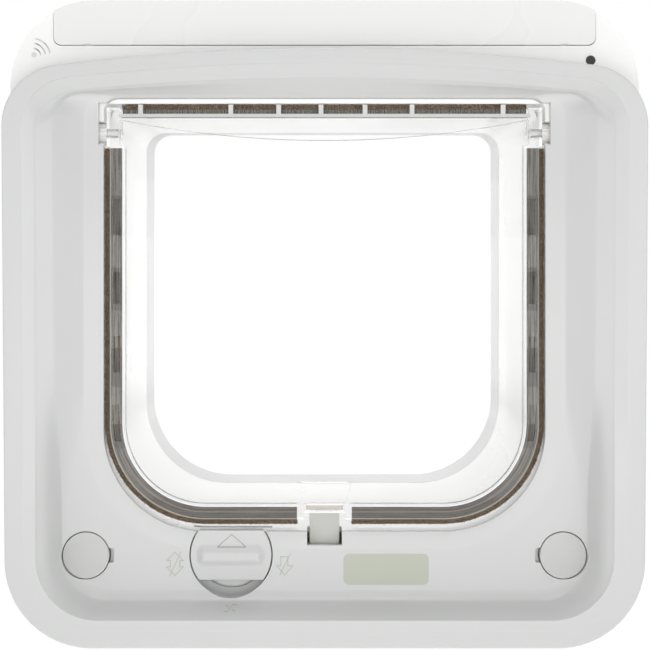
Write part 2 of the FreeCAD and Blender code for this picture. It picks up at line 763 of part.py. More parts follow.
def door_seal(side):
    slot_y0 = door_front_y + 1.0 + backing_gap
    backing = edge_band(pile_l - 0.01, pile_l + backing_l, slot_y0, slot_y0 + backing_t)
    mid_y = slot_y0 + backing_t / 2.0
    pile = edge_band(0, pile_l, mid_y - pile_t / 2.0, mid_y + pile_t / 2.0)
    zone = seal_zone(side)
    shrink = box(seal_break_x + 0.1, 200, -40, 20, -200, side_pile_top_z - 0.1)
    if side < 0:
        shrink = shrink.mirror(vec(0, 0, 0), vec(1, 0, 0))
    return backing.fuse(pile).common(zone).common(shrink)


def door_seal_top():
    slot_y0 = door_front_y + 1.0 + backing_gap
    mid_y = slot_y0 + backing_t / 2.0
    backing = box(-top_pile_half_w, top_pile_half_w, slot_y0, slot_y0 + backing_t, top_backing_z,
                  top_pile_root_z)
    pile = box(-top_pile_half_w, top_pile_half_w, mid_y - pile_t / 2.0, mid_y + pile_t / 2.0,
               top_pile_root_z, top_pile_z)
    return backing.fuse(pile)


def top_seal_rail():
    y0 = door_front_y - rail_t
    rail = box(-top_pile_half_w - 1, top_pile_half_w + 1, y0, door_front_y, door_top_z - rail_h,
               door_top_z)
    for share in rail_finger_share:
        x = share * top_pile_half_w
        rail = rail.fuse(box(x - 0.8, x + 0.8, y0, door_front_y, door_top_z - rail_h,
                             top_pile_z - 0.1))
    return rail


def door_magnet():
    return box(-magnet_half_w, magnet_half_w, magnet_y, magnet_y + magnet_t, magnet_z,
               magnet_z + magnet_h)


def sill_magnet():
    top_z = tunnel_floor_z - tunnel_wall
    return box(7.0, 16.0, -13.4, -9.4, top_z - 2.0, top_z)


def hinge_pin(side):
    pin = rod_x(pin_r, hinge_y, hinge_z, arm_out_x - 3.4, tunnel_half_w + 3.0)
    if side < 0:
        pin = pin.mirror(vec(0, 0, 0), vec(1, 0, 0))
    return pin


# Splined bush between the door's arm and its boss
def hinge_bush(side):
    x0 = arm_out_x + 0.1
    x1 = tunnel_half_w + 3.3
    bush = rod_x(bush_r, hinge_y, hinge_z, x0, x1)
    for i in range(bush_teeth):
        turn = 2 * math.pi * (i + 0.5) / bush_teeth
        groove = rod_x(0.45, hinge_y + bush_r * math.cos(turn),
                       hinge_z + bush_r * math.sin(turn), x0 - 1, x1 + 1)
        bush = bush.cut(groove)
    bush = bush.cut(rod_x(pin_r, hinge_y, hinge_z, x0 - 1, tunnel_half_w + 3.0))
    if side < 0:
        bush = bush.mirror(vec(0, 0, 0), vec(1, 0, 0))
    return bush


def latch_bolt():
    x = latch_half_w
    y0 = latch_front_y
    y1 = latch_back_y
    bolt = box(-x, x, y0, y1, latch_low_z, latch_top_z)
    bevel = [vec(-x - 1, y0 - 1, latch_top_z - 3.1), vec(-x - 1, y0, latch_top_z - 3.1),
             vec(-x - 1, y0 + 1.2, latch_top_z), vec(-x - 1, y0 + 1.2, latch_top_z + 1),
             vec(-x - 1, y0 - 1, latch_top_z + 1)]
    wedge = Part.Face(Part.makePolygon(bevel + bevel[:1])).extrude(vec(2 * x + 2, 0, 0))
    bolt = bolt.cut(wedge)
    # Rack of stub teeth along the right edge
    pitch = math.pi * gear_module
    lean = math.tan(math.radians(20))
    tip = 0.5
    root = rack_pitch_x - latch_half_w
    for i in range(-2, 4):
        z = gear_z + (i + 0.5) * pitch
        half = pitch / 4.0 - gear_backlash / 2.0
        corners = [(x - 0.3, half + root * lean), (x, half + root * lean),
                   (rack_pitch_x + tip, half - tip * lean)]
        points = [vec(px, y0, z - h) for px, h in corners]
        points += [vec(px, y0, z + h) for px, h in reversed(corners)]
        bolt = bolt.fuse(Part.Face(Part.makePolygon(points + points[:1])).extrude(vec(0, latch_t, 0)))
    return bolt


# Pinion with true involute flanks
def latch_pinion():
    base_r = gear_r * math.cos(math.radians(20))
    tip_r = gear_r + gear_module
    root_r = gear_r - 1.05
    pitch_roll = math.tan(math.acos(base_r / gear_r)) - math.acos(base_r / gear_r)
    half_angle = math.pi / (2 * gear_teeth) - gear_backlash / (2 * gear_r)
    y0 = latch_front_y + 0.2

    def flank(radius):
        press = math.acos(min(1.0, base_r / radius))
        return half_angle + pitch_roll - (math.tan(press) - press)

    radii = [base_r + (tip_r - base_r) * i / 4.0 for i in range(5)]
    gear = rod_y(root_r, gear_x, gear_z, y0, y0 + gear_t)
    for i in range(gear_teeth):
        middle = math.pi + 2 * math.pi * i / gear_teeth
        profile = [(root_r - 0.4, flank(base_r))]
        profile += [(r, flank(r)) for r in radii]
        points = []
        for r, a in profile:
            points.append(vec(gear_x + r * math.cos(middle - a), y0,
                              gear_z + r * math.sin(middle - a)))
        for r, a in reversed(profile):
            points.append(vec(gear_x + r * math.cos(middle + a), y0,
                              gear_z + r * math.sin(middle + a)))
        tooth = Part.Face(Part.makePolygon(points + points[:1])).extrude(vec(0, gear_t, 0))
        gear = gear.fuse(tooth)
    return gear.cut(rod_y(motor_shaft_r + 0.05, gear_x, gear_z, y0 - 1, y0 + gear_t + 1))


motor_y = latch_back_y + 0.4


def latch_motor():
    can = rod_y(motor_r, gear_x, gear_z, motor_y, motor_y + motor_l)
    can = can.common(box(gear_x - 20, gear_x + 20, -20, 0, gear_z - 4.0, gear_z + 4.0))
    shaft = rod_y(motor_shaft_r, gear_x, gear_z, latch_front_y + 0.1, motor_y + 1)
    return can.fuse(shaft)


def motor_cradle():
    block = box(gear_x - 6.5, gear_x + 7.5, motor_y + 2.0, mount_y - back_plate_t,
                gear_z - 6.0, gear_z + 6.0)
    seat = rod_y(motor_r + 0.05, gear_x, gear_z, -20, motor_y + motor_l)
    seat = seat.common(box(0, 40, -20, 0, gear_z - 4.05, gear_z + 4.05))
    return block.cut(seat)


def latch_guide():
    x = latch_half_w + 0.25
    wall = box(-x - 2.0, -x, latch_front_y + 0.1, mount_y - back_plate_t, -103.0, -79.4)
    plate = box(-x, 3.0, latch_back_y + 0.2, latch_back_y + 1.4, -103.0, -79.4)
    foot = box(-x, 3.0, latch_back_y + 1.4, mount_y - back_plate_t, -103.0, -99.0)
    return wall.fuse(plate).fuse(foot)


def lock_knob():
    back_y = knob_front_y + knob_t
    disc = rod_y(knob_socket_r - knob_gap, knob_x, knob_z, knob_front_y, back_y)
    disc = disc.common(box(-100, 0, -30, 0, knob_z - knob_flat, knob_z + knob_flat))
    disc = disc.makeFillet(0.4, [e for e in disc.Edges if e.CenterOfMass.y < knob_front_y + 0.1])
    shaft = rod_y(knob_shaft_r, knob_x, knob_z, back_y - 0.5, cam_y)
    # Tapered grip bar
    wires = []
    for half_l, half_h, y in ((10.6, 3.1, knob_front_y + 0.5), (10.0, 2.0, knob_front_y - 3.6)):
        points = [vec(knob_x - half_l, y, knob_z - half_h), vec(knob_x + half_l, y, knob_z - half_h),
                  vec(knob_x + half_l, y, knob_z + half_h), vec(knob_x - half_l, y, knob_z + half_h)]
        wires.append(Part.makePolygon(points + points[:1]))
    grip = Part.makeLoft(wires, True, True)
    grip = grip.makeFillet(0.9, [e for e in grip.Edges if e.CenterOfMass.y < knob_front_y - 3.5])
    return disc.fuse(shaft).fuse(grip)


def lock_cam():
    hub = rod_y(5.6, knob_x, knob_z, cam_y, cam_y + cam_t)
    tongue = box(knob_x - cam_half_w, knob_x + cam_half_w, cam_y, cam_y + cam_t,
                 knob_z - cam_reach - 1, knob_z)
    tongue = tongue.common(rod_y(cam_reach, knob_x, knob_z, -20, 0))
    cam = hub.fuse(tongue)
    screw = rod_y(2.4, knob_x, knob_z, cam_y + cam_t, cam_y + cam_t + 1.4)
    return cam.fuse(screw)


def screw_cap(side):
    x = side * screw_x
    front_y = crease_y - 0.6
    disc = rod_y(cap_r, x, screw_low_z, front_y, front_y + cap_t)
    disc = disc.makeFillet(0.3, [e for e in disc.Edges if e.CenterOfMass.y < front_y + 0.1])
    skirt = ring_y(cap_skirt_r, cap_skirt_r - cap_skirt_t, x, screw_low_z, front_y + cap_t - 0.2,
                   screw_seat_low_y)
    return disc.fuse(skirt)


def exterior_frame():
    def outer(inset, y):
        return outline(outer_half_w - inset, outer_low_z + inset, outer_high_z - inset,
                       outer_r - inset * 0.5, outer_r - inset * 0.5, y)

    def inner(grow, y, lift=0.0):
        return outline(y_high=y, **tunnel_sizes(grow, grow_top=grow + lift))

    collar_in = tunnel_wall + collar_gap
    collar_out = collar_in + collar_t
    step_y = tunnel_end_y + 0.4
    face_y = outer_face_y
    rows = [
        outer(0, outer_back_y - 1.0),
        outer(0, face_y - 7.0),
        outer(0.8, face_y - 4.0),
        outer(2.6, face_y - 1.6),
        outer(5.2, face_y - 0.3),
        outer(8.0, face_y),
        inner(4.0, face_y, outer_opening_lift),
        inner(1.2, face_y - 0.5, outer_opening_lift),
        inner(0, face_y - 2.0, outer_opening_lift),
        inner(0, step_y, outer_opening_lift),
        inner(collar_in, step_y),
        inner(collar_in, collar_start_y),
        inner(collar_out, collar_start_y),
        inner(collar_out, face_y - outer_wall - 0.5),
        outer(8.0, face_y - outer_wall),
        outer(outer_wall + 1.4, face_y - outer_wall - 3.6),
        outer(outer_wall, face_y - 8.4),
        outer(outer_wall, outer_back_y - 1.0),
    ]
    frame = band(rows)
    rim_trim = prism(outer_back_y - 2.0, outer_back_y, half_w=outer_half_w + 1,
                     floor_z=outer_low_z - 1, top_z=outer_high_z + 1, r_low=outer_r, r_high=outer_r)
    frame = frame.cut(rim_trim.cut(prism(outer_back_y - 3.0, outer_back_y + 1,
                                         **tunnel_sizes(collar_out + 2.0))))
    solid = band([outer(1.0, outer_back_y + 0.2), outer(1.0, face_y - outer_wall + 0.3),
                  inner(collar_out - 0.5, face_y - outer_wall + 0.3),
                  inner(collar_out - 0.5, outer_back_y + 0.2)])
    for x, z in screw_places:
        post = rod_y(4.4, x, z, outer_back_y + 0.2, face_y - outer_wall + 0.3)
        frame = frame.fuse(post.common(solid))
        frame = frame.cut(rod_y(screw_r, x, z, outer_back_y - 1, outer_back_y + screw_bite))
    return frame


def led_window():
    lens = rod_y(led_r, led_x, led_z, parting_y - 0.1, inner_front_y)
    light = rod_y(1.25, led_x, led_z, inner_front_y, board_y)
    return lens.fuse(light)


os.makedirs("parts", exist_ok=True)
save("front_bezel", front_bezel())
save("rear_casing", rear_casing())
save("battery_cover", battery_cover())
for side_name, side in (("left", -1), ("right", 1)):
    for level_name, level_z in (("lower", cell_low_z), ("upper", cell_high_z)):
        save("battery_cell_" + side_name + "_" + level_name, cell(side, level_z))
    save("door_seal_" + side_name, door_seal(side))
    save("hinge_pin_" + side_name, hinge_pin(side))
    save("hinge_bush_" + side_name, hinge_bush(side))
    save("screw_cap_" + side_name, screw_cap(side))
save("battery_contacts", battery_contacts())
save("battery_springs", battery_springs())
save("settings_button", settings_button())
save("settings_switch", settings_switch())
save("circuit_board", circuit_board())
save("led_window", led_window())
save("antenna_coil", antenna_coil())
save("frame_screws", frame_screws())
save("casing_screws", casing_screws())
save("door_panel", door_panel())
save("door_seal_top", door_seal_top())
save("top_seal_rail", top_seal_rail())
save("door_magnet", door_magnet())
save("sill_magnet", sill_magnet())
save("latch_bolt", latch_bolt())
save("latch_pinion", latch_pinion())
save("latch_motor", latch_motor())
save("motor_cradle", motor_cradle())
save("latch_guide", latch_guide())
save("lock_knob", lock_knob())
save("lock_cam", lock_cam())
save("exterior_frame", exterior_frame())
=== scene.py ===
import json
import math
import bmesh
import bpy
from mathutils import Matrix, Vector
from mathutils.bvhtree import BVHTree
from mathutils.interpolate import poly_3d_calc


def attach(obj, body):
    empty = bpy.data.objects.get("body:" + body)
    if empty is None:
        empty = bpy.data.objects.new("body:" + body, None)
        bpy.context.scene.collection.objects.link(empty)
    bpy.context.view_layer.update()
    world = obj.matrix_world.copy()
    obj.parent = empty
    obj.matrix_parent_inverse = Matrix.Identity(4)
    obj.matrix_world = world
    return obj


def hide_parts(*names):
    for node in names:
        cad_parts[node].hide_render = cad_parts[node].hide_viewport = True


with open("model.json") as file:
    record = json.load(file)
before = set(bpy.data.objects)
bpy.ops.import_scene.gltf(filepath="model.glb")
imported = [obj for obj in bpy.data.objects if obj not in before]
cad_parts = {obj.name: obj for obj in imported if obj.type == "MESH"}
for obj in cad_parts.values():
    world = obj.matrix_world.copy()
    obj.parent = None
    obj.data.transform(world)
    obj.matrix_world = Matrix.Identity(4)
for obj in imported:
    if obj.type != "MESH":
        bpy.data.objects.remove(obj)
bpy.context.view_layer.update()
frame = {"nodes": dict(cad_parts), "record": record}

nodes = frame["nodes"]
mm = 0.001
print("cat flap: frame loaded,", len(nodes), "nodes")

# Camera, at the photograph's place in front of the flap

shot = {"x": -2.74, "y": -351.0, "z": 6.85, "lens": 54.66, "shiftX": 0.0132, "shiftY": -0.0488}

cameraData = bpy.data.cameras.new("photoCamera")
cameraData.sensor_width = 36.0
cameraData.lens = shot["lens"]
cameraData.shift_x = shot["shiftX"]
cameraData.shift_y = shot["shiftY"]
cameraData.clip_start = 0.01
cameraData.clip_end = 30.0
camera = bpy.data.objects.new("photoCamera", cameraData)
camera.location = (shot["x"] * mm, shot["y"] * mm, shot["z"] * mm)
camera.rotation_euler = (math.radians(90), 0, 0)
bpy.context.scene.collection.objects.link(camera)
bpy.context.scene.camera = camera
bpy.context.scene.view_settings.view_transform = "Standard"
print("camera set")


def toLinear(code):
    values = []
    for i in (0, 2, 4):
        c = int(code[i:i + 2], 16) / 255.0
        values.append(c / 12.92 if c <= 0.04045 else ((c + 0.055) / 1.055) ** 2.4)
    return (values[0], values[1], values[2], 1.0)


def addNode(tree, kind, settings=None, links=None):
    node = tree.nodes.new(kind)
    for key, value in (settings or {}).items():
        if isinstance(key, int) or key in node.inputs:
            node.inputs[key].default_value = value
        else:
            setattr(node, key, value)
    for key, source in (links or {}).items():
        tree.links.new(source, node.inputs[key])
    return node


def startMaterial(name, color, roughness, extra=None):
    material = bpy.data.materials.new(name)
    material.use_nodes = True
    tree = material.node_tree
    tree.nodes.clear()
    shader = addNode(tree, "ShaderNodeBsdfPrincipled",
                     {"Base Color": toLinear(color), "Roughness": roughness})
    for key, value in (extra or {}).items():
        shader.inputs[key].default_value = value
    addNode(tree, "ShaderNodeOutputMaterial", links={"Surface": shader.outputs[0]})
    place = addNode(tree, "ShaderNodeTexCoord").outputs["Object"]
    material.diffuse_color = toLinear(color)
    return material, tree, shader, place


def makeObject(name, mesh):
    thing = bpy.data.objects.new(name, mesh)
    bpy.context.scene.collection.objects.link(thing)
    return thing


def smoothByAngle(mesh, degrees):
    limit = math.radians(degrees)
    form = bmesh.new()
    form.from_mesh(mesh)
    for face in form.faces:
        face.smooth = True
    for edge in form.edges:
        edge.smooth = len(edge.link_faces) == 2 and edge.calc_face_angle(0.0) < limit
    form.to_mesh(mesh)
    form.free()


def mouldedPlastic(name, color, roughness, grainMm, bump, mottle=0.02, extra=None):
    material, tree, shader, place = startMaterial(name, color, roughness, extra)
    grain = addNode(tree, "ShaderNodeTexNoise", {"Scale": 1000.0 / grainMm, "Detail": 3.0}, {"Vector": place})
    cloud = addNode(tree, "ShaderNodeTexNoise", {"Scale": 22.0, "Detail": 2.0}, {"Vector": place})
    rough = addNode(tree, "ShaderNodeMapRange", {"From Min": 0.3, "From Max": 0.7, "To Min": roughness - 0.04,
                                                "To Max": roughness + 0.04}, {"Value": cloud.outputs["Fac"]})
    base = toLinear(color)
    shade = addNode(tree, "ShaderNodeMix", {"data_type": "RGBA"})
    shade.inputs[6].default_value = base
    shade.inputs[7].default_value = tuple(c * (1.0 - mottle) for c in base[:3]) + (1.0,)
    tree.links.new(cloud.outputs["Fac"], shade.inputs[0])
    relief = addNode(tree, "ShaderNodeBump", {"Strength": bump, "Distance": 0.00005},
                     {"Height": grain.outputs["Fac"]})
    tree.links.new(shade.outputs[2], shader.inputs["Base Color"])
    tree.links.new(rough.outputs["Result"], shader.inputs["Roughness"])
    tree.links.new(relief.outputs["Normal"], shader.inputs["Normal"])
    return material


# injection moulded ABS, polished tool: bright neutral white with a soft satin sheen
whiteAbs = mouldedPlastic("whiteAbs", "CFD0CF", 0.34, 0.35, 0.12, extra={"IOR": 1.53})
# the casing and the battery cover: the same white ABS, a touch glossier, painted lighter than the bezel as
# painted light for the stronger light they get outside the dish
casingAbsPaintedLight = mouldedPlastic("casingAbsPaintedLight", "F8F8F7", 0.30, 0.35, 0.10, extra={"IOR": 1.53})
# painted light: the battery cover's white ABS is painted lighter than the bezel's
coverAbsPaintedLight = mouldedPlastic("coverAbsPaintedLight", "EDEDEC", 0.28, 0.35, 0.08, extra={"IOR": 1.53})
# screw caps, from a matt tool
capAbs = mouldedPlastic("capAbs", "C8C9C7", 0.45, 0.35, 0.14, extra={"IOR": 1.53})
# moulded acetal: slightly green grey and waxy
greyAcetal = mouldedPlastic("greyAcetal", "C0C1BB", 0.42, 0.4, 0.10, extra={"IOR": 1.48})
# natural nylon bush and pinion: milky
naturalNylon = mouldedPlastic("naturalNylon", "F6F5F2", 0.40, 0.4, 0.08, extra={"IOR": 1.53})
# printed film round a dry cell: dark and glossy
cellJacket = mouldedPlastic("cellJacket", "4A4E53", 0.28, 0.5, 0.05)
# solder mask on glass-epoxy board
boardGreen = mouldedPlastic("boardGreen", "1F5B35", 0.35, 0.6, 0.2, mottle=0.2)
# smoked lens over the lamp
lampLens = mouldedPlastic("lampLens", "2A2B2C", 0.15, 0.5, 0.02)


def rolledMetal(name, color, roughness, lineMm):
    material, tree, shader, place = startMaterial(name, color, roughness, {"Metallic": 1.0})
    stretch = addNode(tree, "ShaderNodeMapping", links={"Vector": place})
    stretch.inputs["Scale"].default_value = (1.0, 1.0, 12.0)
    lines = addNode(tree, "ShaderNodeTexNoise", {"Scale": 1000.0 / lineMm / 12.0, "Detail": 2.0},
                    {"Vector": stretch.outputs[0]})
    rough = addNode(tree, "ShaderNodeMapRange", {"To Min": roughness - 0.08, "To Max": roughness + 0.08},
                    {"Value": lines.outputs["Fac"]})
    tree.links.new(rough.outputs["Result"], shader.inputs["Roughness"])
    return material


# bright zinc on steel screws and pins
zincSteel = rolledMetal("zincSteel", "C4C6C8", 0.30, 0.3)
# nickel plated strip and springs
nickelStrip = rolledMetal("nickelStrip", "CBC8C0", 0.25, 0.3)
# plated magnets: warm grey, slightly scratched
magnetPlate = rolledMetal("magnetPlate", "B7B0A8", 0.38, 0.2)
# enamelled copper wire
copperWire = rolledMetal("copperWire", "C9885C", 0.35, 0.2)


# polished moulded acrylic: clear, with very faint flow lines
clearAcrylic, tree, shader, place = startMaterial("clearAcrylic", "FFFFFF", 0.03,
                                                  {"Transmission Weight": 1.0, "IOR": 1.49})
flow = addNode(tree, "ShaderNodeTexNoise", {"Scale": 60.0, "Detail": 1.0}, {"Vector": place})
ripple = addNode(tree, "ShaderNodeBump", {"Strength": 0.03, "Distance": 0.0002},
                 {"Height": flow.outputs["Fac"]})
tree.links.new(ripple.outputs["Normal"], shader.inputs["Normal"])


def fibre(name, dark, light, grainMm, stretch, roughness):
    material, tree, shader, place = startMaterial(name, light, roughness, {"Specular IOR Level": 0.25})
    mapping = addNode(tree, "ShaderNodeMapping", links={"Vector": place})
    mapping.inputs["Scale"].default_value = stretch
    speck = addNode(tree, "ShaderNodeTexNoise", {"Scale": 1000.0 / grainMm, "Detail": 3.0, "Roughness": 0.7},
                    {"Vector": mapping.outputs[0]})
    ramp = addNode(tree, "ShaderNodeValToRGB", links={"Fac": speck.outputs["Fac"]})
    ramp.color_ramp.elements[0].position = 0.36
    ramp.color_ramp.elements[0].color = toLinear(dark)
    ramp.color_ramp.elements[1].position = 0.64
    ramp.color_ramp.elements[1].color = toLinear(light)
    tree.links.new(ramp.outputs["Color"], shader.inputs["Base Color"])
    return material


# polypropylene weather pile: stiff brown bristles, no two alike
pileBristle = fibre("pileBristle", "2C2219", "8C7B66", 0.45, (1.0, 1.0, 1.0), 0.75)
# widths across the tape and distances along it in millimetres, heights in metres
tape = {"selvedge": 0.28, "seamAt": 2.45, "seamHalf": 0.19, "brownFromZ": -0.046, "brownToZ": -0.064,
        "ribFirstZ": 0.0404, "ribNextZ": 0.01435, "ribShare": 0.51, "ribReachZ": 0.046}
# woven backing tape that carries the pile, seen through the clear channel: threads run along it
pileBacking, tree, shader, place = startMaterial("pileBacking", "8A8882", 0.7, {"Specular IOR Level": 0.25})
strand = addNode(tree, "ShaderNodeUVMap", {"uv_map": "strand"}).outputs["UV"]
threads = addNode(tree, "ShaderNodeMapping", links={"Vector": strand})
threads.inputs["Scale"].default_value = (2.3, 0.05, 1.0)
thread = addNode(tree, "ShaderNodeTexNoise", {"Scale": 1.0, "Detail": 2.5, "Roughness": 0.65},
                 {"Vector": threads.outputs[0]})
weave = addNode(tree, "ShaderNodeTexNoise", {"Scale": 2600.0, "Detail": 1.0}, {"Vector": place})
mixed = addNode(tree, "ShaderNodeMath", {"operation": "MULTIPLY_ADD", 1: 0.25}, {0: weave.outputs["Fac"]})
addShare = addNode(tree, "ShaderNodeMath", {"operation": "MULTIPLY", 1: 0.75}, {0: thread.outputs["Fac"]})
tree.links.new(addShare.outputs[0], mixed.inputs[2])
ramp = addNode(tree, "ShaderNodeValToRGB", links={"Fac": mixed.outputs[0]})
ramp.color_ramp.elements[0].position = 0.38
ramp.color_ramp.elements[0].color = toLinear("3B3834")
ramp.color_ramp.elements[1].position = 0.60
ramp.color_ramp.elements[1].color = toLinear("95938B")


def blendTo(tree, color, share, under):
    links = {0: share, 6: under}
    return addNode(tree, "ShaderNodeMix", {"data_type": "RGBA", 7: toLinear(color)}, links).outputs[2]


across = addNode(tree, "ShaderNodeSeparateXYZ", links={"Vector": strand}).outputs["X"]
selvedge = addNode(tree, "ShaderNodeMath", {"operation": "LESS_THAN", 1: tape["selvedge"]}, {0: across})
seam = addNode(tree, "ShaderNodeMath", {"operation": "COMPARE", 1: tape["seamAt"], 2: tape["seamHalf"]},
               {0: across})
height = addNode(tree, "ShaderNodeSeparateXYZ", links={"Vector": place}).outputs["Z"]
lowDown = addNode(tree, "ShaderNodeMapRange", {"From Min": tape["brownFromZ"], "From Max": tape["brownToZ"],
                                              "To Min": 0.0, "To Max": 0.62}, {"Value": height})
# in the bottom run the pile shows through the tape, so it is browner
soaked = blendTo(tree, "4E463E", lowDown.outputs[0], ramp.outputs["Color"])
stitched = blendTo(tree, "8F7F74", seam.outputs[0], soaked)
# painted shade: darker stretches on the tape where the ribs of the channel shade it
step = addNode(tree, "ShaderNodeMapRange", {"From Min": tape["ribFirstZ"], "From Max": tape["ribNextZ"],
                                           "To Min": 0.0, "To Max": 1.0, "clamp": False}, {"Value": height})
part = addNode(tree, "ShaderNodeMath", {"operation": "FRACT"}, {0: step.outputs[0]})
shaded = addNode(tree, "ShaderNodeMath", {"operation": "LESS_THAN", 1: tape["ribShare"]}, {0: part.outputs[0]})
upright = addNode(tree, "ShaderNodeMath", {"operation": "COMPARE", 1: 0.0, 2: tape["ribReachZ"]}, {0: height})
dim = addNode(tree, "ShaderNodeMath", {"operation": "MULTIPLY"}, {0: shaded.outputs[0], 1: upright.outputs[0]})
dimmer = addNode(tree, "ShaderNodeMath", {"operation": "MULTIPLY", 1: 0.45}, {0: dim.outputs[0]})
ribShadedTape = blendTo(tree, "2E2B27", dimmer.outputs[0], stitched)
tree.links.new(blendTo(tree, "C4BEB2", selvedge.outputs[0], ribShadedTape), shader.inputs["Base Color"])
# frosted rail that clips the top seal
frostedRail = mouldedPlastic("frostedRail", "F4F4F2", 0.45, 0.5, 0.08,
                             extra={"Transmission Weight": 0.35, "IOR": 1.45})
# thin grey pad print
padPrint, tree, shader, place = startMaterial("padPrint", "BBBEB1", 0.5)
fade = addNode(tree, "ShaderNodeTexNoise", {"Scale": 900.0}, {"Vector": place})
tone = addNode(tree, "ShaderNodeMapRange", {"To Min": 0.45, "To Max": 0.55}, {"Value": fade.outputs["Fac"]})
tree.links.new(tone.outputs["Result"], shader.inputs["Roughness"])
# the same print in a paler grey, on the casing
palePrint, tree, shader, place = startMaterial("palePrint", "D9D9D5", 0.5)
# darker print of the triangle on the knob
finePrint, tree, shader, place = startMaterial("finePrint", "96978F", 0.5)
print("materials made")


# Printed marks in millimetres round a centre: outlines drawn as thin strokes, or one filled field
plateMarks = [
    {"at": (-50.5, -84.4), "width": 0.30, "lines": [
        [(0, 3.9), (2.8, 1.1), (1.6, 1.1), (1.6, -1.0), (2.8, -1.0), (0, -3.9), (-2.8, -1.0), (-1.6, -1.0),
         (-1.6, 1.1), (-2.8, 1.1), (0, 3.9)], [(1.95, 4.05), (-1.75, -4.05)]]},
    {"at": (-13.45, -84.9), "width": 0.30, "lines": [
        [(-1.3, 2.9), (1.05, 2.9), (1.05, -0.1), (2.7, -0.1), (0, -3.2), (-2.7, -0.1), (-1.3, -0.1),
         (-1.3, 2.9)],
        [(2.0, 4.1), (-1.7, -3.2)]]},
    {"at": (-31.2, -97.2), "width": 0.22, "lines": [
        [(-2.0, -0.6), (-0.9, -0.6), (0.6, 0.45), (2.0, 0.45)],
        [(-1.6, 0.35), (-0.6, 0.1)], [(0.5, -0.3), (1.7, -0.55)]]},
    {"at": (20.8, -86.2), "field": (14.4, 5.2, 1.9)},
]
knobMarks = [{"at": (0.25, 3.0), "width": 0.24, "lines": [[(0, 4.1), (4.75, -0.1), (-4.75, -0.1), (0, 4.1)]]}]
wave = [(2.6, 1.2), (4.2, 1.2), (5.8, 1.2)]
caseMarks = [{"at": (-97.5, 86.3), "width": 0.45, "lines": [
    [(r * math.cos(a), r * math.sin(a)) for a in [half * i / 8.0 + 0.2 for i in range(9)]]
    for r, half in wave]},
    {"at": (-97.1, 86.7), "field": (0.85, 0.85, 0.8)}]


printLift = 0.00003


# Adds printed marks to a mesh in its own second material, a hair above the surface that faces the room
def addMarks(mesh, marks, paint, move=(0.0, 0.0)):
    tree = BVHTree.FromPolygons([v.co for v in mesh.vertices], [p.vertices for p in mesh.polygons])
    quads = []
    for mark in marks:
        cx, cz = mark["at"][0] + move[0], mark["at"][1] + move[1]
        for line in mark.get("lines", []):
            half = mark["width"] / 2.0
            for (x0, z0), (x1, z1) in zip(line, line[1:]):
                along = Vector((x1 - x0, z1 - z0))
                step = along.normalized() * half
                side = Vector((-step.y, step.x))
                start = Vector((cx + x0, cz + z0)) - step
                whole = along + 2.0 * step
                count = max(1, int(along.length / 0.6))
                for i in range(count):
                    a = start + whole * (i / count)
                    c = start + whole * ((i + 1) / count)
                    quads.append([a - side, c - side, c + side, a + side])
        if "field" in mark:
            w, h, r = mark["field"]
            edge = []
            for sx, sz, turn in ((1, 1, 0), (-1, 1, 90), (-1, -1, 180), (1, -1, 270)):
                for i in range(7):
                    a = math.radians(turn + 15 * i)
                    edge.append(Vector((cx + sx * (w - r) + r * math.cos(a),
                                        cz + sz * (h - r) + r * math.sin(a))))
            middle = Vector((cx, cz))
            rings = [[middle.lerp(e, t) for e in edge] for t in (0.02, 0.25, 0.5, 0.75, 1.0)]
            for low, high in zip(rings, rings[1:]):
                for i in range(len(edge)):
                    j = (i + 1) % len(edge)
                    quads.append([low[i], high[i], high[j], low[j]])
            quads.append(rings[0][:])
    form = bmesh.new()
    form.from_mesh(mesh)
    for quad in quads:
        spots = []
        for q in quad:
            start = Vector((q.x * mm, -0.06, q.y * mm))
            hit, normal, index, distance = tree.ray_cast(start, Vector((0, 1, 0)))
            lift = printLift if normal.y < 0 else -printLift
            spots.append(form.verts.new(hit + normal * lift))
        face = form.faces.new(spots)
        face.normal_update()
        if face.normal.y > 0:
            face.normal_flip()
        face.material_index = len(mesh.materials)
    form.to_mesh(mesh)
    form.free()
    mesh.materials.append(paint)


# CAD nodes that keep their shape: merged, smoothed copies

finishes = {
    "rear_casing": (casingAbsPaintedLight, "white_abs"), "exterior_frame": (whiteAbs, "white_abs"),
    "battery_cover": (coverAbsPaintedLight, "white_abs"), "screw_cap_left": (capAbs, "white_abs"),
    "screw_cap_right": (capAbs, "white_abs"),
    "motor_cradle": (whiteAbs, "white_abs"), "latch_guide": (whiteAbs, "white_abs"),
    "battery_cell_left_lower": (cellJacket, "cell_jacket"),
    "battery_cell_left_upper": (cellJacket, "cell_jacket"),
    "battery_cell_right_lower": (cellJacket, "cell_jacket"),
    "battery_cell_right_upper": (cellJacket, "cell_jacket"),
    "battery_contacts": (nickelStrip, "nickel_strip"), "battery_springs": (nickelStrip, "nickel_strip"),
    "settings_button": (greyAcetal, "grey_acetal"), "settings_switch": (greyAcetal, "grey_acetal"),
    "circuit_board": (boardGreen, "circuit_green"), "led_window": (lampLens, "lamp_lens"),
    "antenna_coil": (copperWire, "copper_wire"), "frame_screws": (zincSteel, "zinc_steel"),
    "casing_screws": (zincSteel, "zinc_steel"), "door_panel": (clearAcrylic, "clear_acrylic"),
    "top_seal_rail": (frostedRail, "clear_acrylic"), "door_magnet": (magnetPlate, "magnet_nickel"),
    "sill_magnet": (magnetPlate, "magnet_nickel"), "hinge_pin_left": (naturalNylon, "natural_nylon"),
    "hinge_pin_right": (naturalNylon, "natural_nylon"), "hinge_bush_left": (naturalNylon, "natural_nylon"),
    "hinge_bush_right": (naturalNylon, "natural_nylon"), "latch_bolt": (greyAcetal, "grey_acetal"),
    "latch_pinion": (naturalNylon, "natural_nylon"), "latch_motor": (zincSteel, "zinc_steel"),
    "lock_cam": (greyAcetal, "grey_acetal"),
}
bodyOf = {}
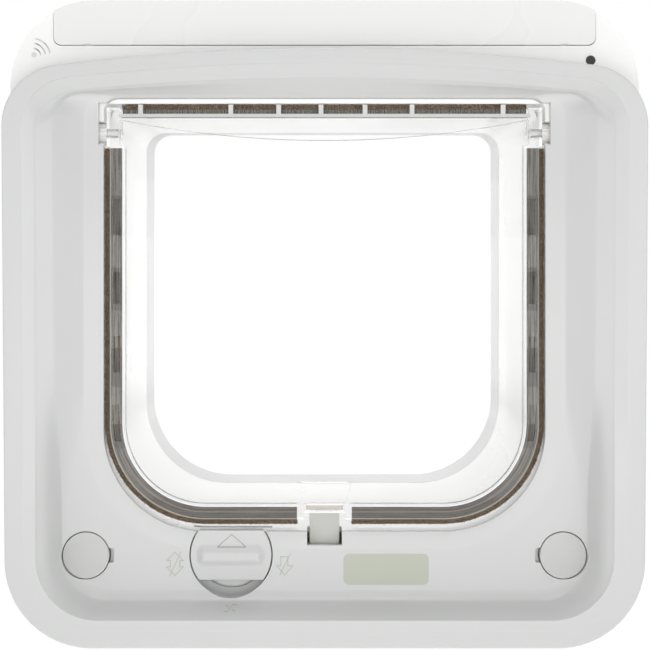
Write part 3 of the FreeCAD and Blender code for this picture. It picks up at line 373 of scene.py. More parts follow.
for bodyName, members in frame["record"]["behaviour"]["bodies"].items():
    for member in members:
        bodyOf[member] = bodyName

softEdges = {"door_panel": 0.22, "screw_cap_left": 0.18, "screw_cap_right": 0.18, "latch_bolt": 0.25,
             "battery_cover": 0.3, "settings_button": 0.2}


# Rounds the sharp edges of a solid, in millimetres
def roundedEdges(mesh, width):
    work = makeObject("edgeRounding", mesh)
    modifier = work.modifiers.new("edges", "BEVEL")
    modifier.width = width * mm
    modifier.segments = 2
    modifier.limit_method = "ANGLE"
    modifier.angle_limit = math.radians(30)
    modifier.use_clamp_overlap = True
    depsgraph = bpy.context.evaluated_depsgraph_get()
    rounded = bpy.data.meshes.new_from_object(work.evaluated_get(depsgraph))
    bpy.data.objects.remove(work)
    return rounded


# Gives each corner the normal of the largest face beside it, so that a flat sheet stays optically flat
def flatByArea(mesh):
    form = bmesh.new()
    form.from_mesh(mesh)
    bmesh.ops.dissolve_limit(form, angle_limit=math.radians(0.4), verts=form.verts, edges=form.edges)
    form.to_mesh(mesh)
    form.free()
    work = makeObject("flatSheets", mesh)
    modifier = work.modifiers.new("weighted", "WEIGHTED_NORMAL")
    modifier.mode = "FACE_AREA"
    modifier.weight = 100
    modifier.keep_sharp = True
    depsgraph = bpy.context.evaluated_depsgraph_get()
    flat = bpy.data.meshes.new_from_object(work.evaluated_get(depsgraph))
    bpy.data.objects.remove(work)
    return flat


for nodeName, (material, slotName) in finishes.items():
    mesh = nodes[nodeName].data.copy()
    form = bmesh.new()
    form.from_mesh(mesh)
    bmesh.ops.remove_doubles(form, verts=form.verts, dist=0.000002)
    form.to_mesh(mesh)
    form.free()
    if mesh.has_custom_normals:
        mesh.attributes.remove(mesh.attributes["custom_normal"])
    if nodeName in softEdges:
        mesh = roundedEdges(mesh, softEdges[nodeName])
    smoothByAngle(mesh, 28)
    if nodeName in ("door_panel", "rear_casing", "battery_cover"):
        mesh = flatByArea(mesh)
    mesh.materials.clear()
    mesh.materials.append(material)
    if nodeName == "rear_casing":
        addMarks(mesh, caseMarks, palePrint)
    copy = makeObject(nodeName + ".smooth", mesh)
    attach(copy, bodyOf[nodeName])
    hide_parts(nodeName)
    if material == clearAcrylic:
        copy.visible_shadow = False
print("CAD nodes dressed:", len(finishes))


# Front bezel, in millimetres

bezel = {
    "rimY": -30.0, "partingY": -20.7, "plateY": -16.0, "lip": 1.5, "wall": 2.3,
    "halfW": 105.3, "floorZ": -108.65, "topZ": 86.75, "rLow": 28.5, "rHigh": 20.0,
    "archR": 720.0, "taper": 1.0, "slopeA": -66.0, "slopeB": -22.0,
    "creaseW": 6.5, "creaseH": 5.8, "creaseTop": 0.6, "creaseY": -17.0, "creaseR": 6.0,
    "cornerSteps": 18, "sideSteps": 14, "archSteps": 30, "edgeRound": 0.45,
}
opening = {"halfW": 74.9, "floorZ": -73.65, "topZ": 73.65, "rLow": 34.4, "rHigh": 5.0}
# inset at sides, floor and top, depth at sides, floor and top, corner cuts, arch flattening
dishRows = [
    (0.0, 0.0, 0.0, 9.3, 9.3, 9.3, 0.0, 0.0, 1.0),
    (0.0, 0.0, 0.0, 1.0, 1.0, 0.9, 0.0, 0.0, 1.0),
    (0.12, 0.12, 0.1, 0.45, 0.45, 0.4, 0.1, 0.1, 1.0),
    (0.45, 0.45, 0.35, 0.12, 0.12, 0.1, 0.4, 0.3, 1.0),
    (1.1, 1.1, 0.9, 0.0, 0.0, 0.0, 0.9, 0.8, 1.0),
    (3.4, 3.0, 2.6, 0.0, 0.0, 0.0, 2.4, 2.0, 1.0),
    (6.1, 5.6, 4.7, 0.1, 0.0, 0.0, 4.2, 3.0, 1.02),
    (6.7, 6.2, 5.2, 0.3, 0.05, 0.5, 4.7, 3.4, 1.04),
    (9.8, 8.8, 8.2, 2.0, 0.25, 4.8, 8.0, 6.0, 1.15),
    (10.5, 9.4, 8.7, 2.5, 0.8, 5.6, 8.7, 6.6, 1.2),
    (13.2, 10.8, 9.8, 4.3, 4.2, 7.7, 11.2, 8.8, 1.5),
    (15.2, 12.9, 10.9, 5.6, 11.2, 9.9, 11.5, 10.5, 3.0),
    (15.7, 15.7, 11.5, 6.0, 12.7, 11.0, 10.5, 11.0, 5.0),
]


def ease(t):
    t = min(1.0, max(0.0, t))
    return t * t * (3.0 - 2.0 * t)


def outlineLoop(halfW, floorZ, topZ, rLow, rHigh, yHigh, taper=0.0, archR=40000.0, yLow=None,
                slopeA=-43.0, slopeB=-20.0, yTop=None):
    yLow = yHigh if yLow is None else yLow
    yTop = yHigh if yTop is None else yTop
    lowW = halfW - taper
    archZ = topZ - archR
    cornerZ = archZ + math.sqrt((archR - rHigh) ** 2 - (halfW - rHigh) ** 2)
    archAngle = math.atan2(halfW - rHigh, cornerZ - archZ)
    lowZ = floorZ + rLow
    right = []
    for i in range(12):
        right.append((i / 12.0 * (lowW - rLow), floorZ))
    for i in range(bezel["cornerSteps"]):
        a = math.pi / 2 * i / bezel["cornerSteps"]
        right.append((lowW - rLow + rLow * math.sin(a), lowZ - rLow * math.cos(a)))
    stops = [lowZ, max(slopeA, lowZ + 0.5), max(slopeB, lowZ + 1.0), cornerZ]
    for low, high in zip(stops, stops[1:]):
        for i in range(bezel["sideSteps"]):
            z = low + (high - low) * i / bezel["sideSteps"]
            right.append((lowW + (halfW - lowW) * (z - lowZ) / (cornerZ - lowZ), z))
    for i in range(bezel["cornerSteps"]):
        a = (math.pi / 2 - archAngle) * i / bezel["cornerSteps"]
        right.append((halfW - rHigh + rHigh * math.cos(a), cornerZ + rHigh * math.sin(a)))
    for i in range(bezel["archSteps"]):
        a = archAngle * (1.0 - i / bezel["archSteps"])
        right.append((archR * math.sin(a), archZ + archR * math.cos(a)))
    loop = right + [(0.0, topZ)] + [(-x, z) for x, z in reversed(right[1:])]
    points = []
    archEnd = archZ + archR * math.cos(archAngle)
    for x, z in loop:
        t = ease((z - slopeA) / (slopeB - slopeA))
        up = ease((z - cornerZ) / max(archEnd - cornerZ, 0.001))
        points.append(Vector((x, yLow + (yHigh - yLow) * t + (yTop - yHigh) * up, z)) * mm)
    return points


def dishLoop(row, shiftIn=0.0, shiftY=0.0, lowIn=0.0, lowY=0.0):
    side, floor, top, deepSide, deepFloor, deepTop, cutLow, cutHigh, flatter = row
    b = bezel
    return outlineLoop(b["halfW"] - side - shiftIn, b["floorZ"] + floor + lowIn, b["topZ"] - top - shiftIn,
                       b["rLow"] - cutLow, b["rHigh"] - cutHigh, b["rimY"] + deepSide + shiftY, b["taper"],
                       b["archR"] * flatter, b["rimY"] + deepFloor + lowY, b["slopeA"], b["slopeB"],
                       b["rimY"] + deepTop + shiftY)


def openingLoop(growW, growH, growTop, y, more=0.0):
    o = opening
    return outlineLoop(o["halfW"] + growW, o["floorZ"] - growH, o["topZ"] + growTop, o["rLow"] + more,
                       o["rHigh"] + more / 2.0, y)


def betweenRows(rows, steps):
    fine = []
    for i in range(len(rows) - 1):
        before = rows[max(i - 1, 0)]
        after = rows[min(i + 2, len(rows) - 1)]
        for s in range(steps):
            t = s / steps
            fine.append(tuple(0.5 * (2 * b + (c - a) * t + (2 * a - 5 * b + 4 * c - d) * t * t
                                     + (3 * b - a - 3 * c + d) * t ** 3)
                              for a, b, c, d in zip(before, rows[i], rows[i + 1], after)))
    fine.append(rows[-1])
    return fine


def roundEdge(before, edge, after, size):
    made = ([], [], [])
    for p, q, r in zip(before, edge, after):
        a = q + (p - q).normalized() * size * mm
        c = q + (r - q).normalized() * size * mm
        made[0].append(a)
        made[1].append(a * 0.25 + q * 0.5 + c * 0.25)
        made[2].append(c)
    return list(made)


def ringMesh(name, loops):
    count = len(loops[0])
    points = [p for loop in loops for p in loop]
    faces = []
    for i in range(len(loops)):
        j = (i + 1) % len(loops)
        for k in range(count):
            n = (k + 1) % count
            faces.append((i * count + k, j * count + k, j * count + n, i * count + n))
    mesh = bpy.data.meshes.new(name)
    mesh.from_pydata(points, [], faces)
    form = bmesh.new()
    form.from_mesh(mesh)
    bmesh.ops.remove_doubles(form, verts=form.verts, dist=0.000001)
    bmesh.ops.recalc_face_normals(form, faces=form.faces)
    for face in form.faces:
        face.smooth = True
    form.to_mesh(mesh)
    form.free()
    return mesh


def rodMesh(name, radius, x, z, y0, y1, sides=96):
    form = bmesh.new()
    turn = bmesh.ops.create_cone(form, cap_ends=True, segments=sides, radius1=radius * mm,
                                 radius2=radius * mm, depth=(y1 - y0) * mm)
    for vertex in turn["verts"]:
        px, py, pz = vertex.co
        vertex.co = (px + x * mm, pz + (y0 + y1) / 2 * mm, -py + z * mm)
    bmesh.ops.recalc_face_normals(form, faces=form.faces)
    mesh = bpy.data.meshes.new(name)
    form.to_mesh(mesh)
    form.free()
    return mesh


def blockMesh(name, low, high, cornerR=0.0):
    form = bmesh.new()
    bmesh.ops.create_cube(form, size=1.0)
    for vertex in form.verts:
        vertex.co = [(low[i] + high[i]) / 2 * mm + vertex.co[i] * (high[i] - low[i]) * mm for i in range(3)]
    if cornerR:
        upright = [e for e in form.edges if abs(e.verts[0].co.y - e.verts[1].co.y) > 0.000001]
        bmesh.ops.bevel(form, geom=upright, offset=cornerR * mm, segments=4, affect="EDGES", profile=0.5)
    mesh = bpy.data.meshes.new(name)
    form.to_mesh(mesh)
    form.free()
    return mesh


# Solid of revolution about an axis along Y, from pairs of radius and depth
def latheMesh(name, profile, x, z, sides=96):
    form = bmesh.new()
    rings = []
    for radius, y in profile:
        if radius == 0:
            rings.append([form.verts.new(Vector((x, y, z)) * mm)])
            continue
        rings.append([form.verts.new(Vector((x + radius * math.cos(a), y, z + radius * math.sin(a))) * mm)
                      for a in [2 * math.pi * i / sides for i in range(sides)]])
    for low, high in zip(rings, rings[1:]):
        for i in range(sides):
            j = (i + 1) % sides
            loop = [low[i % len(low)], low[j % len(low)], high[j % len(high)], high[i % len(high)]]
            form.faces.new(list(dict.fromkeys(loop)))
    bmesh.ops.recalc_face_normals(form, faces=form.faces)
    mesh = bpy.data.meshes.new(name)
    form.to_mesh(mesh)
    form.free()
    return mesh


# Cuts or joins one solid after another, and gives the mesh back with its cut faces in slot 1
def carve(mesh, tools):
    work = makeObject("carving", mesh)
    helpers = []
    for i, (operation, toolMesh) in enumerate(tools):
        toolMesh.materials.append(whiteAbs)
        tool = makeObject("carvingTool%d" % i, toolMesh)
        helpers.append(tool)
        modifier = work.modifiers.new("carve", "BOOLEAN")
        modifier.operation = operation
        modifier.object = tool
        modifier.solver = "EXACT"
        modifier.material_mode = "TRANSFER"
    depsgraph = bpy.context.evaluated_depsgraph_get()
    result = bpy.data.meshes.new_from_object(work.evaluated_get(depsgraph))
    for thing in helpers + [work]:
        bpy.data.objects.remove(thing)
    return result


# Shading of an uncut surface, carried over to the same surface with holes cut in it
def keepShading(cut, whole):
    tree = BVHTree.FromPolygons([v.co for v in whole.vertices], [p.vertices for p in whole.polygons])
    corners = [n.vector.copy() for n in whole.corner_normals]
    own = [n.vector.copy() for n in cut.corner_normals]
    normals = [None] * len(cut.loops)
    for polygon in cut.polygons:
        centre = polygon.center
        for li in polygon.loop_indices:
            spot = cut.vertices[cut.loops[li].vertex_index].co
            probe = spot.lerp(centre, 0.02)
            hit, normal, index, distance = tree.find_nearest(probe)
            if distance > 0.00004 or normal.dot(polygon.normal) < 0.7:
                normals[li] = own[li]
                continue
            face = whole.polygons[index]
            weights = poly_3d_calc([whole.vertices[v].co for v in face.vertices], hit)
            blend = Vector((0, 0, 0))
            for w, corner in zip(weights, face.loop_indices):
                blend += corners[corner] * w
            normals[li] = blend.normalized()
    cut.normals_split_custom_set(normals)


b = bezel
fineRows = betweenRows(dishRows[1:], 4)
front = [dishLoop(dishRows[0])] + [dishLoop(row) for row in fineRows]
crease = openingLoop(b["creaseW"], b["creaseH"], b["creaseTop"], b["creaseY"], b["creaseR"])
mouth = openingLoop(0, 0, 0, b["plateY"])
throat = openingLoop(0, 0, -0.55, b["plateY"] + b["lip"])
loops = front[:-4]
loops += roundEdge(front[-5], front[-1], crease, b["edgeRound"])
loops += roundEdge(front[-1], crease, mouth, b["edgeRound"])
loops += roundEdge(crease, mouth, throat, 0.3)
loops.append(throat)
slope = b["wall"] * 0.72
loops.append(openingLoop(b["creaseW"] - 1.0, b["creaseH"] - 1.0, b["creaseTop"],
                         b["creaseY"] + b["wall"], b["creaseR"]))
for row in reversed(dishRows[8:]):
    loops.append(dishLoop(row, -slope, slope, -slope * 0.8, b["wall"]))
under = b["wall"] + 0.1
loops.append(dishLoop((4.8, 4.3, 3.5, under, under, under, 3.0, 2.5, 1.0)))
for y in (b["rimY"] + under, b["partingY"]):
    loops.append(outlineLoop(b["halfW"] - b["wall"], b["floorZ"] + b["wall"], b["topZ"] - b["wall"],
                             b["rLow"] - b["wall"], b["rHigh"] - b["wall"], y, b["taper"], b["archR"]))

wholeBezel = ringMesh("bezelWhole", loops)
wholeBezel.materials.append(whiteAbs)

pockets = {
    "knobX": -31.6, "knobZ": -81.5, "knobR": 14.1, "knobFloorY": -12.6, "shaftR": 4.0,
    "capX": 80.55, "capZ": -81.5, "capR": 8.1, "capSeatY": -9.0, "cupWall": 1.6, "cupFrontY": -15.9,
    "notchHalfW": 5.9, "notchZ": -78.25, "pryReach": 1.6, "pryHalfH": 2.5, "pryDepth": 1.5, "pryRound": 0.7,
    "reliefX": 76.6, "reliefLowZ": 57.4, "reliefTopZ": 71.6, "cupTopZ": -76.3, "screwR": 2.25, "pryIn": 7.8,
}
p = pockets
cup = carve(rodMesh("knobCup", p["knobR"] + p["cupWall"], p["knobX"], p["knobZ"], p["cupFrontY"],
                    p["knobFloorY"] + p["cupWall"]),
            [("DIFFERENCE", blockMesh("cupTrim", (-100, -30, p["cupTopZ"]), (100, 0, 0)))])
steps = [("UNION", cup)]
for side in (-1, 1):
    steps.append(("UNION", rodMesh("capCup", p["capR"] + p["cupWall"], side * p["capX"], p["capZ"],
                                   p["cupFrontY"], p["capSeatY"] + p["cupWall"])))
# the knob stands in a bowl with a raised disc and a groove in its floor
r = p["knobR"]
bowl = [(0, -40), (r, -40), (r, -14.9), (r - 0.3, -14.0), (r - 0.9, -13.1), (r - 1.8, -12.4), (r - 1.8, -11.2),
        (r - 2.8, -11.2), (r - 2.8, -13.2), (0, -13.2)]
steps.append(("DIFFERENCE", latheMesh("knobSocket", bowl, p["knobX"], p["knobZ"])))
steps.append(("DIFFERENCE", rodMesh("shaftHole", p["shaftR"], p["knobX"], p["knobZ"], -40, 0, 48)))
for side in (-1, 1):
    steps.append(("DIFFERENCE", rodMesh("capSocket", p["capR"], side * p["capX"], p["capZ"], -40,
                                        p["capSeatY"])))
    steps.append(("DIFFERENCE", rodMesh("screwHole", p["screwR"], side * p["capX"], p["capZ"], -40, 0, 32)))
    inner = side * (p["capX"] - p["pryIn"])
    steps.append(("DIFFERENCE", blockMesh("pryNotch", (inner - p["pryReach"], -25, p["capZ"] - p["pryHalfH"]),
                                          (inner + p["pryReach"], b["creaseY"] + p["pryDepth"],
                                           p["capZ"] + p["pryHalfH"]), p["pryRound"])))
steps.append(("DIFFERENCE", blockMesh("latchNotch", (-p["notchHalfW"], -40, p["notchZ"]),
                                      (p["notchHalfW"], 0, 0))))
steps.append(("DIFFERENCE", blockMesh("bushRelief", (-p["reliefX"], b["creaseY"] - 1, p["reliefLowZ"]),
                                      (p["reliefX"], 0, p["reliefTopZ"]))))
bezelMesh = carve(wholeBezel.copy(), steps)
smoothByAngle(bezelMesh, 30)
keepShading(bezelMesh, wholeBezel)
bezelMesh.materials.clear()
bezelMesh.materials.append(whiteAbs)
for polygon in bezelMesh.polygons:
    polygon.material_index = 0
addMarks(bezelMesh, plateMarks, padPrint)
frontBezel = makeObject("frontBezel", bezelMesh)
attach(frontBezel, "root")
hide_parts("front_bezel")
print("front bezel carved:", len(bezelMesh.polygons), "faces")


# Lock knob: a disc with two flats, a soft ridge to grip and a shaft
knob = {"x": -31.6, "z": -81.5, "r": 13.7, "flat": 8.5, "frontY": -17.2, "t": 2.6, "edge": 0.45,
        "ridgeH": 2.0, "ridgeTop": (9.0, 0.9), "ridgeFoot": (11.8, 3.8), "shaftR": 3.9, "shaftY": -9.2}


def knobMesh():
    k = knob
    form = bmesh.new()
    rows, columns = 74, 90
    grid = []
    for i in range(rows + 1):
        v = -k["flat"] + 2.0 * k["flat"] * i / rows
        halfRow = math.sqrt(k["r"] ** 2 - v * v)
        line = []
        for j in range(columns + 1):
            u = halfRow * math.sin(math.pi / 2 * (2.0 * j / columns - 1.0))
            away = max(0.0, min(k["flat"] - abs(v), k["r"] - math.hypot(u, v)))
            sink = k["edge"] - math.sqrt(max(0.0, k["edge"] ** 2 - (k["edge"] - min(away, k["edge"])) ** 2))
            side = ease((k["ridgeFoot"][1] - abs(v)) / (k["ridgeFoot"][1] - k["ridgeTop"][1]))
            end = ease((k["ridgeFoot"][0] - abs(u)) / (k["ridgeFoot"][0] - k["ridgeTop"][0]))
            y = k["frontY"] + sink - k["ridgeH"] * side * end
            line.append(form.verts.new(Vector((k["x"] + u, y, k["z"] + v)) * mm))
        grid.append(line)
    for low, high in zip(grid, grid[1:]):
        for j in range(columns):
            form.faces.new((low[j], low[j + 1], high[j + 1], high[j]))
    rim = grid[0][:-1] + [row[-1] for row in grid[:-1]] + grid[-1][:0:-1] + [row[0] for row in grid[:0:-1]]
    backY = (k["frontY"] + k["t"]) * mm
    back = [form.verts.new((v.co.x, backY, v.co.z)) for v in rim]
    for i in range(len(rim)):
        n = (i + 1) % len(rim)
        form.faces.new((rim[i], rim[n], back[n], back[i]))
    form.faces.new(back)
    bmesh.ops.recalc_face_normals(form, faces=form.faces)
    mesh = bpy.data.meshes.new("lockKnob")
    form.to_mesh(mesh)
    form.free()
    return mesh


turnMesh = carve(knobMesh(), [("UNION", rodMesh("knobShaft", knob["shaftR"], knob["x"], knob["z"],
                                                knob["frontY"] + knob["t"] - 0.5, knob["shaftY"], 64))])
smoothByAngle(turnMesh, 35)
turnMesh.materials.clear()
turnMesh.materials.append(whiteAbs)
for polygon in turnMesh.polygons:
    polygon.material_index = 0
addMarks(turnMesh, knobMarks, finePrint, (knob["x"], knob["z"]))
lockKnob = makeObject("lockKnob", turnMesh)
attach(lockKnob, "knob")
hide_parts("lock_knob")
print("lock knob made:", len(turnMesh.polygons), "faces")


# Pile seals round the door

pile = {
    "tipHalfW": 74.9, "tipLowZ": -71.8, "tipR": 34.4, "pileL": 1.7, "pileT": 3.2, "midY": -12.1,
    "backingL": 4.1, "backingT": 1.8, "breakX": 9.4, "topZ": 56.5,
    "topHalfW": 69.0, "topLowZ": 66.9, "topRootZ": 69.85, "topTipZ": 71.35, "chamfer": 1.8,
    "sideBristle": 2.0, "topBristle": 1.75, "bristleR": 0.085, "bristlesPerMm2": 14.0, "lean": 0.22,
    "core": 0.98, "coreDepth": 0.82, "rootDepth": 0.92, "seed": 7,
}


def bristleTree():
    tree = bpy.data.node_groups.new("pileBristles", "GeometryNodeTree")
    face = tree.interface
    face.new_socket("Geometry", in_out="INPUT", socket_type="NodeSocketGeometry")
    for name, kind, value in (("Length", "NodeSocketFloat", 0.0016), ("Radius", "NodeSocketFloat", 0.0001),
                              ("Density", "NodeSocketFloat", 9e6), ("Lean", "NodeSocketFloat", 0.2),
                              ("Seed", "NodeSocketInt", 1)):
        face.new_socket(name, in_out="INPUT", socket_type=kind).default_value = value
    face.new_socket("Material", in_out="INPUT", socket_type="NodeSocketMaterial")
    face.new_socket("Geometry", in_out="OUTPUT", socket_type="NodeSocketGeometry")
    start = addNode(tree, "NodeGroupInput").outputs
    scatter = addNode(tree, "GeometryNodeDistributePointsOnFaces", {"distribute_method": "RANDOM"},
                      {"Mesh": start["Geometry"], "Density": start["Density"], "Seed": start["Seed"]})
    hair = addNode(tree, "GeometryNodeMeshCone", {"fill_type": "NONE", "Vertices": 4},
                   {"Radius Bottom": start["Radius"], "Depth": start["Length"]})
    tip = addNode(tree, "ShaderNodeMath", {"operation": "MULTIPLY", 1: 0.55}, {0: start["Radius"]})
    tree.links.new(tip.outputs[0], hair.inputs["Radius Top"])
    low = addNode(tree, "ShaderNodeMath", {"operation": "MULTIPLY", 1: -1.0}, {0: start["Lean"]})
    tilt = addNode(tree, "FunctionNodeRandomValue", {"data_type": "FLOAT_VECTOR"}, {"Seed": start["Seed"]})
    tree.links.new(low.outputs[0], tilt.inputs["Min"])
    tree.links.new(start["Lean"], tilt.inputs["Max"])
    turn = addNode(tree, "FunctionNodeRotateRotation", {"rotation_space": "LOCAL"},
                   {"Rotation": scatter.outputs["Rotation"], "Rotate By": tilt.outputs["Value"]})
    long = addNode(tree, "FunctionNodeRandomValue", {"data_type": "FLOAT"}, {"Seed": start["Seed"]})
    long.inputs[2].default_value = 0.8
    long.inputs[3].default_value = 1.0
    place = addNode(tree, "GeometryNodeInstanceOnPoints", None,
                    {"Points": scatter.outputs["Points"], "Instance": hair.outputs["Mesh"],
                     "Rotation": turn.outputs[0], "Scale": long.outputs[1]})
    real = addNode(tree, "GeometryNodeRealizeInstances", None, {"Geometry": place.outputs[0]})
    paint = addNode(tree, "GeometryNodeSetMaterial", None,
                    {"Geometry": real.outputs[0], "Material": start["Material"]})
    addNode(tree, "NodeGroupOutput", None, {0: paint.outputs[0]})
    return tree


bristles = bristleTree()


def growBristles(name, rootMesh, length, seed):
    grower = makeObject(name + ".root", rootMesh)
    modifier = grower.modifiers.new("bristles", "NODES")
    modifier.node_group = bristles
    given = {"Length": length * mm, "Radius": pile["bristleR"] * mm, "Density": pile["bristlesPerMm2"] * 1e6,
             "Lean": pile["lean"], "Seed": seed, "Material": pileBristle}
    for item in bristles.interface.items_tree:
        if item.in_out == "INPUT" and item.name in given:
            modifier[item.identifier] = given[item.name]
    depsgraph = bpy.context.evaluated_depsgraph_get()
    mesh = bpy.data.meshes.new_from_object(grower.evaluated_get(depsgraph))
    bpy.data.objects.remove(grower)
    return mesh


def sealPath(inset, side):
    q = pile
    r = q["tipR"] - inset
    cx, cz = q["tipHalfW"] - q["tipR"], q["tipLowZ"] + q["tipR"]
    flat = [(q["breakX"] + (cx - q["breakX"]) * i / 16.0, q["tipLowZ"] + inset) for i in range(16)]
    bend = [(cx + r * math.sin(a), cz - r * math.cos(a)) for a in [math.pi / 2 * i / 24 for i in range(24)]]
    rise = [(q["tipHalfW"] - inset, cz + (q["topZ"] - cz) * i / 24.0) for i in range(25)]
    return [(side * x, z) for x, z in flat + bend + rise]


# Closed bar swept between an outer and an inner path, between two depths. Its strand coordinates are
# millimetres across and along the threads.
def sweptBar(form, outer, inner, y0, y1, threadsAcross=False):
    rings = []
    strand = form.loops.layers.uv.get("strand") or form.loops.layers.uv.new("strand")
    place = {}
    far = 0.0
    last = outer[0]
    for (ox, oz), (ix, iz) in zip(outer, inner):
        corners = [(ox, y0, oz), (ox, y1, oz), (ix, y1, iz), (ix, y0, iz)]
        rings.append([form.verts.new(Vector(c) * mm) for c in corners])
        far += math.dist(last, (ox, oz))
        last = (ox, oz)
        wide = math.dist((ox, oz), (ix, iz))
        for vertex, across in zip(rings[-1], (0.0, 0.0, wide, wide)):
            place[vertex] = (far + 5.0, across) if threadsAcross else (across, far)
    made = []
    for a, c in zip(rings, rings[1:]):
        for k in range(4):
            made.append(form.faces.new((a[k], a[(k + 1) % 4], c[(k + 1) % 4], c[k])))
    made.append(form.faces.new(rings[0]))
    made.append(form.faces.new(list(reversed(rings[-1]))))
    for face in made:
        for loop in face.loops:
            loop[strand].uv = place[loop.vert]
    return made


def pileSeal(name, outer, root, inner, length, seed, node, threadsAcross=False):
    q = pile
    half = q["pileT"] / 2.0
    form = bmesh.new()
    sweptBar(form, root, inner, q["midY"] - q["backingT"] / 2, q["midY"] + q["backingT"] / 2, threadsAcross)
    core = [(rx + (ox - rx) * q["core"], rz + (oz - rz) * q["core"])
            for (ox, oz), (rx, rz) in zip(outer, root)]
    deep = half * q["coreDepth"]
    mass = sweptBar(form, core, root, q["midY"] - deep, q["midY"] + deep)
    for face in mass:
        face.material_index = 1
    bmesh.ops.recalc_face_normals(form, faces=form.faces)
    solid = bpy.data.meshes.new(name)
    form.to_mesh(solid)
    form.free()
    skin = bmesh.new()
    rails = [[skin.verts.new(Vector((x, y, z)) * mm) for x, z in root]
             for y in (q["midY"] - half * q["rootDepth"], q["midY"] + half * q["rootDepth"])]
    for i in range(len(root) - 1):
        skin.faces.new((rails[0][i], rails[1][i], rails[1][i + 1], rails[0][i + 1]))
    skin.normal_update()
    probe = skin.faces[:][0]
    away = Vector((outer[0][0] - root[0][0], 0, outer[0][1] - root[0][1]))
    if probe.normal.dot(away) < 0:
        bmesh.ops.reverse_faces(skin, faces=skin.faces)
    rootMesh = bpy.data.meshes.new(name + "Root")
    skin.to_mesh(rootMesh)
    skin.free()
    hair = growBristles(name, rootMesh, length, seed)
    solid.materials.append(pileBacking)
    solid.materials.append(pileBristle)
    joined = bmesh.new()
    joined.from_mesh(solid)
    before = len(joined.faces)
    joined.from_mesh(hair)
    for face in list(joined.faces)[before:]:
        face.material_index = 1
    joined.to_mesh(solid)
    joined.free()
    piece = makeObject(name, solid)
    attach(piece, "door")
    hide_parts(node)
    return piece


for sideName, side in (("left", -1), ("right", 1)):
    seal = pileSeal("doorPile." + sideName, sealPath(0.1, side), sealPath(pile["pileL"], side),
                    sealPath(pile["pileL"] + pile["backingL"], side), pile["sideBristle"],
                    pile["seed"] + side, "door_seal_" + sideName)
    print("pile", sideName, len(seal.data.polygons), "faces")
q = pile
xs = [q["topHalfW"] * (i / 30.0 - 1.0) for i in range(61)]
narrow = 1.0 - q["chamfer"] / q["topHalfW"]
top = pileSeal("doorPile.top", [(x * narrow, q["topTipZ"]) for x in xs], [(x, q["topRootZ"]) for x in xs],
               [(x, q["topLowZ"]) for x in xs], q["topBristle"], q["seed"] + 5, "door_seal_top",
               threadsAcross=True)
print("pile top", len(top.data.polygons), "faces")


# Light, floor and backdrop

def whiteToView(tree):
    seen = addNode(tree, "ShaderNodeLightPath")
    glossy = addNode(tree, "ShaderNodeMath", {"operation": "MAXIMUM"},
                     {0: seen.outputs["Is Camera Ray"], 1: seen.outputs["Is Glossy Ray"]})
    clear = addNode(tree, "ShaderNodeMath", {"operation": "MAXIMUM"},
                    {0: glossy.outputs[0], 1: seen.outputs["Is Transmission Ray"]})
    return clear.outputs[0]


world = bpy.data.worlds.new("softRoom")
bpy.context.scene.world = world
world.use_nodes = True
worldTree = world.node_tree
worldTree.nodes.clear()
roomLight = addNode(worldTree, "ShaderNodeBackground", {"Color": toLinear("FFFFFF"), "Strength": 0.32})
whiteView = addNode(worldTree, "ShaderNodeBackground", {"Color": (1, 1, 1, 1), "Strength": 1.0})
pick = addNode(worldTree, "ShaderNodeMixShader", None, {1: roomLight.outputs[0], 2: whiteView.outputs[0]})
worldTree.links.new(whiteToView(worldTree), pick.inputs[0])
addNode(worldTree, "ShaderNodeOutputWorld", None, {"Surface": pick.outputs[0]})

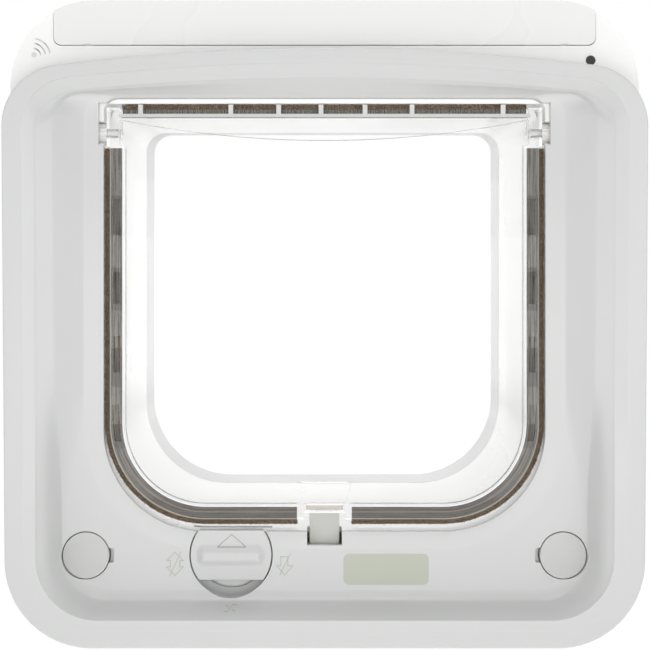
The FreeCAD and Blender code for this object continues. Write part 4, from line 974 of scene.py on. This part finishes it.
lamps = [
    ("keyRight", (0.60, -0.75, 0.05), 0.5, 1.47), ("fillLeft", (-0.65, -0.65, 0.05), 0.5, 0.92),
    ("lowFront", (0.0, -0.60, -0.06), 0.35, 0.41), ("underFill", (0.0, -0.24, -0.100), 0.30, 0.22),
    ("topFront", (0.0, -0.10, 0.61), 0.25, 1.05), ("behind", (0.0, 0.75, 0.20), 0.7, 1.05),
    ("edgeLight", (0.0, 0.28, 0.70), 0.25, 1.15),
]
for name, spot, size, power in lamps:
    lampData = bpy.data.lights.new(name, "AREA")
    lampData.shape = "SQUARE"
    lampData.size = size
    lampData.energy = power
    lamp = bpy.data.objects.new(name, lampData)
    lamp.location = spot
    aim = Vector((0, 0.02, -0.01)) - Vector(spot)
    lamp.rotation_euler = aim.to_track_quat("-Z", "Y").to_euler()
    lamp.visible_camera = False
    lamp.visible_transmission = False
    bpy.context.scene.collection.objects.link(lamp)

floorMesh = bpy.data.meshes.new("floor")
floorZ = -0.1092
floorCorners = [(x, y, floorZ) for x, y in ((-6, -6), (6, -6), (6, 6), (-6, 6))]
floorMesh.from_pydata(floorCorners, [], [(0, 1, 2, 3)])
floor = makeObject("floor", floorMesh)
floorPaint = bpy.data.materials.new("paleFloor")
floorPaint.use_nodes = True
floorTree = floorPaint.node_tree
floorTree.nodes.clear()
matt = addNode(floorTree, "ShaderNodeBsdfDiffuse", {"Color": toLinear("F2F2F2")})
glow = addNode(floorTree, "ShaderNodeEmission", {"Color": (1, 1, 1, 1), "Strength": 1.0})
spot = addNode(floorTree, "ShaderNodeTexCoord").outputs["Object"]
reach = addNode(floorTree, "ShaderNodeVectorMath", {"operation": "LENGTH"}, {0: spot})
fade = addNode(floorTree, "ShaderNodeMapRange",
               {"From Min": 0.14, "From Max": 0.30, "To Min": 0.85, "To Max": 1.0},
               {"Value": reach.outputs["Value"]})
share = addNode(floorTree, "ShaderNodeMath", {"operation": "MULTIPLY"},
                {0: whiteToView(floorTree), 1: fade.outputs[0]})
# a soft light comes up from the floor, as from a white table
bounce = addNode(floorTree, "ShaderNodeEmission", {"Color": (1, 1, 1, 1), "Strength": 0.52})
lit = addNode(floorTree, "ShaderNodeAddShader", None, {0: matt.outputs[0], 1: bounce.outputs[0]})
floorMix = addNode(floorTree, "ShaderNodeMixShader", None,
                   {0: share.outputs[0], 1: lit.outputs[0], 2: glow.outputs[0]})
addNode(floorTree, "ShaderNodeOutputMaterial", None, {"Surface": floorMix.outputs[0]})
floorMesh.materials.append(floorPaint)
print("light and floor set")
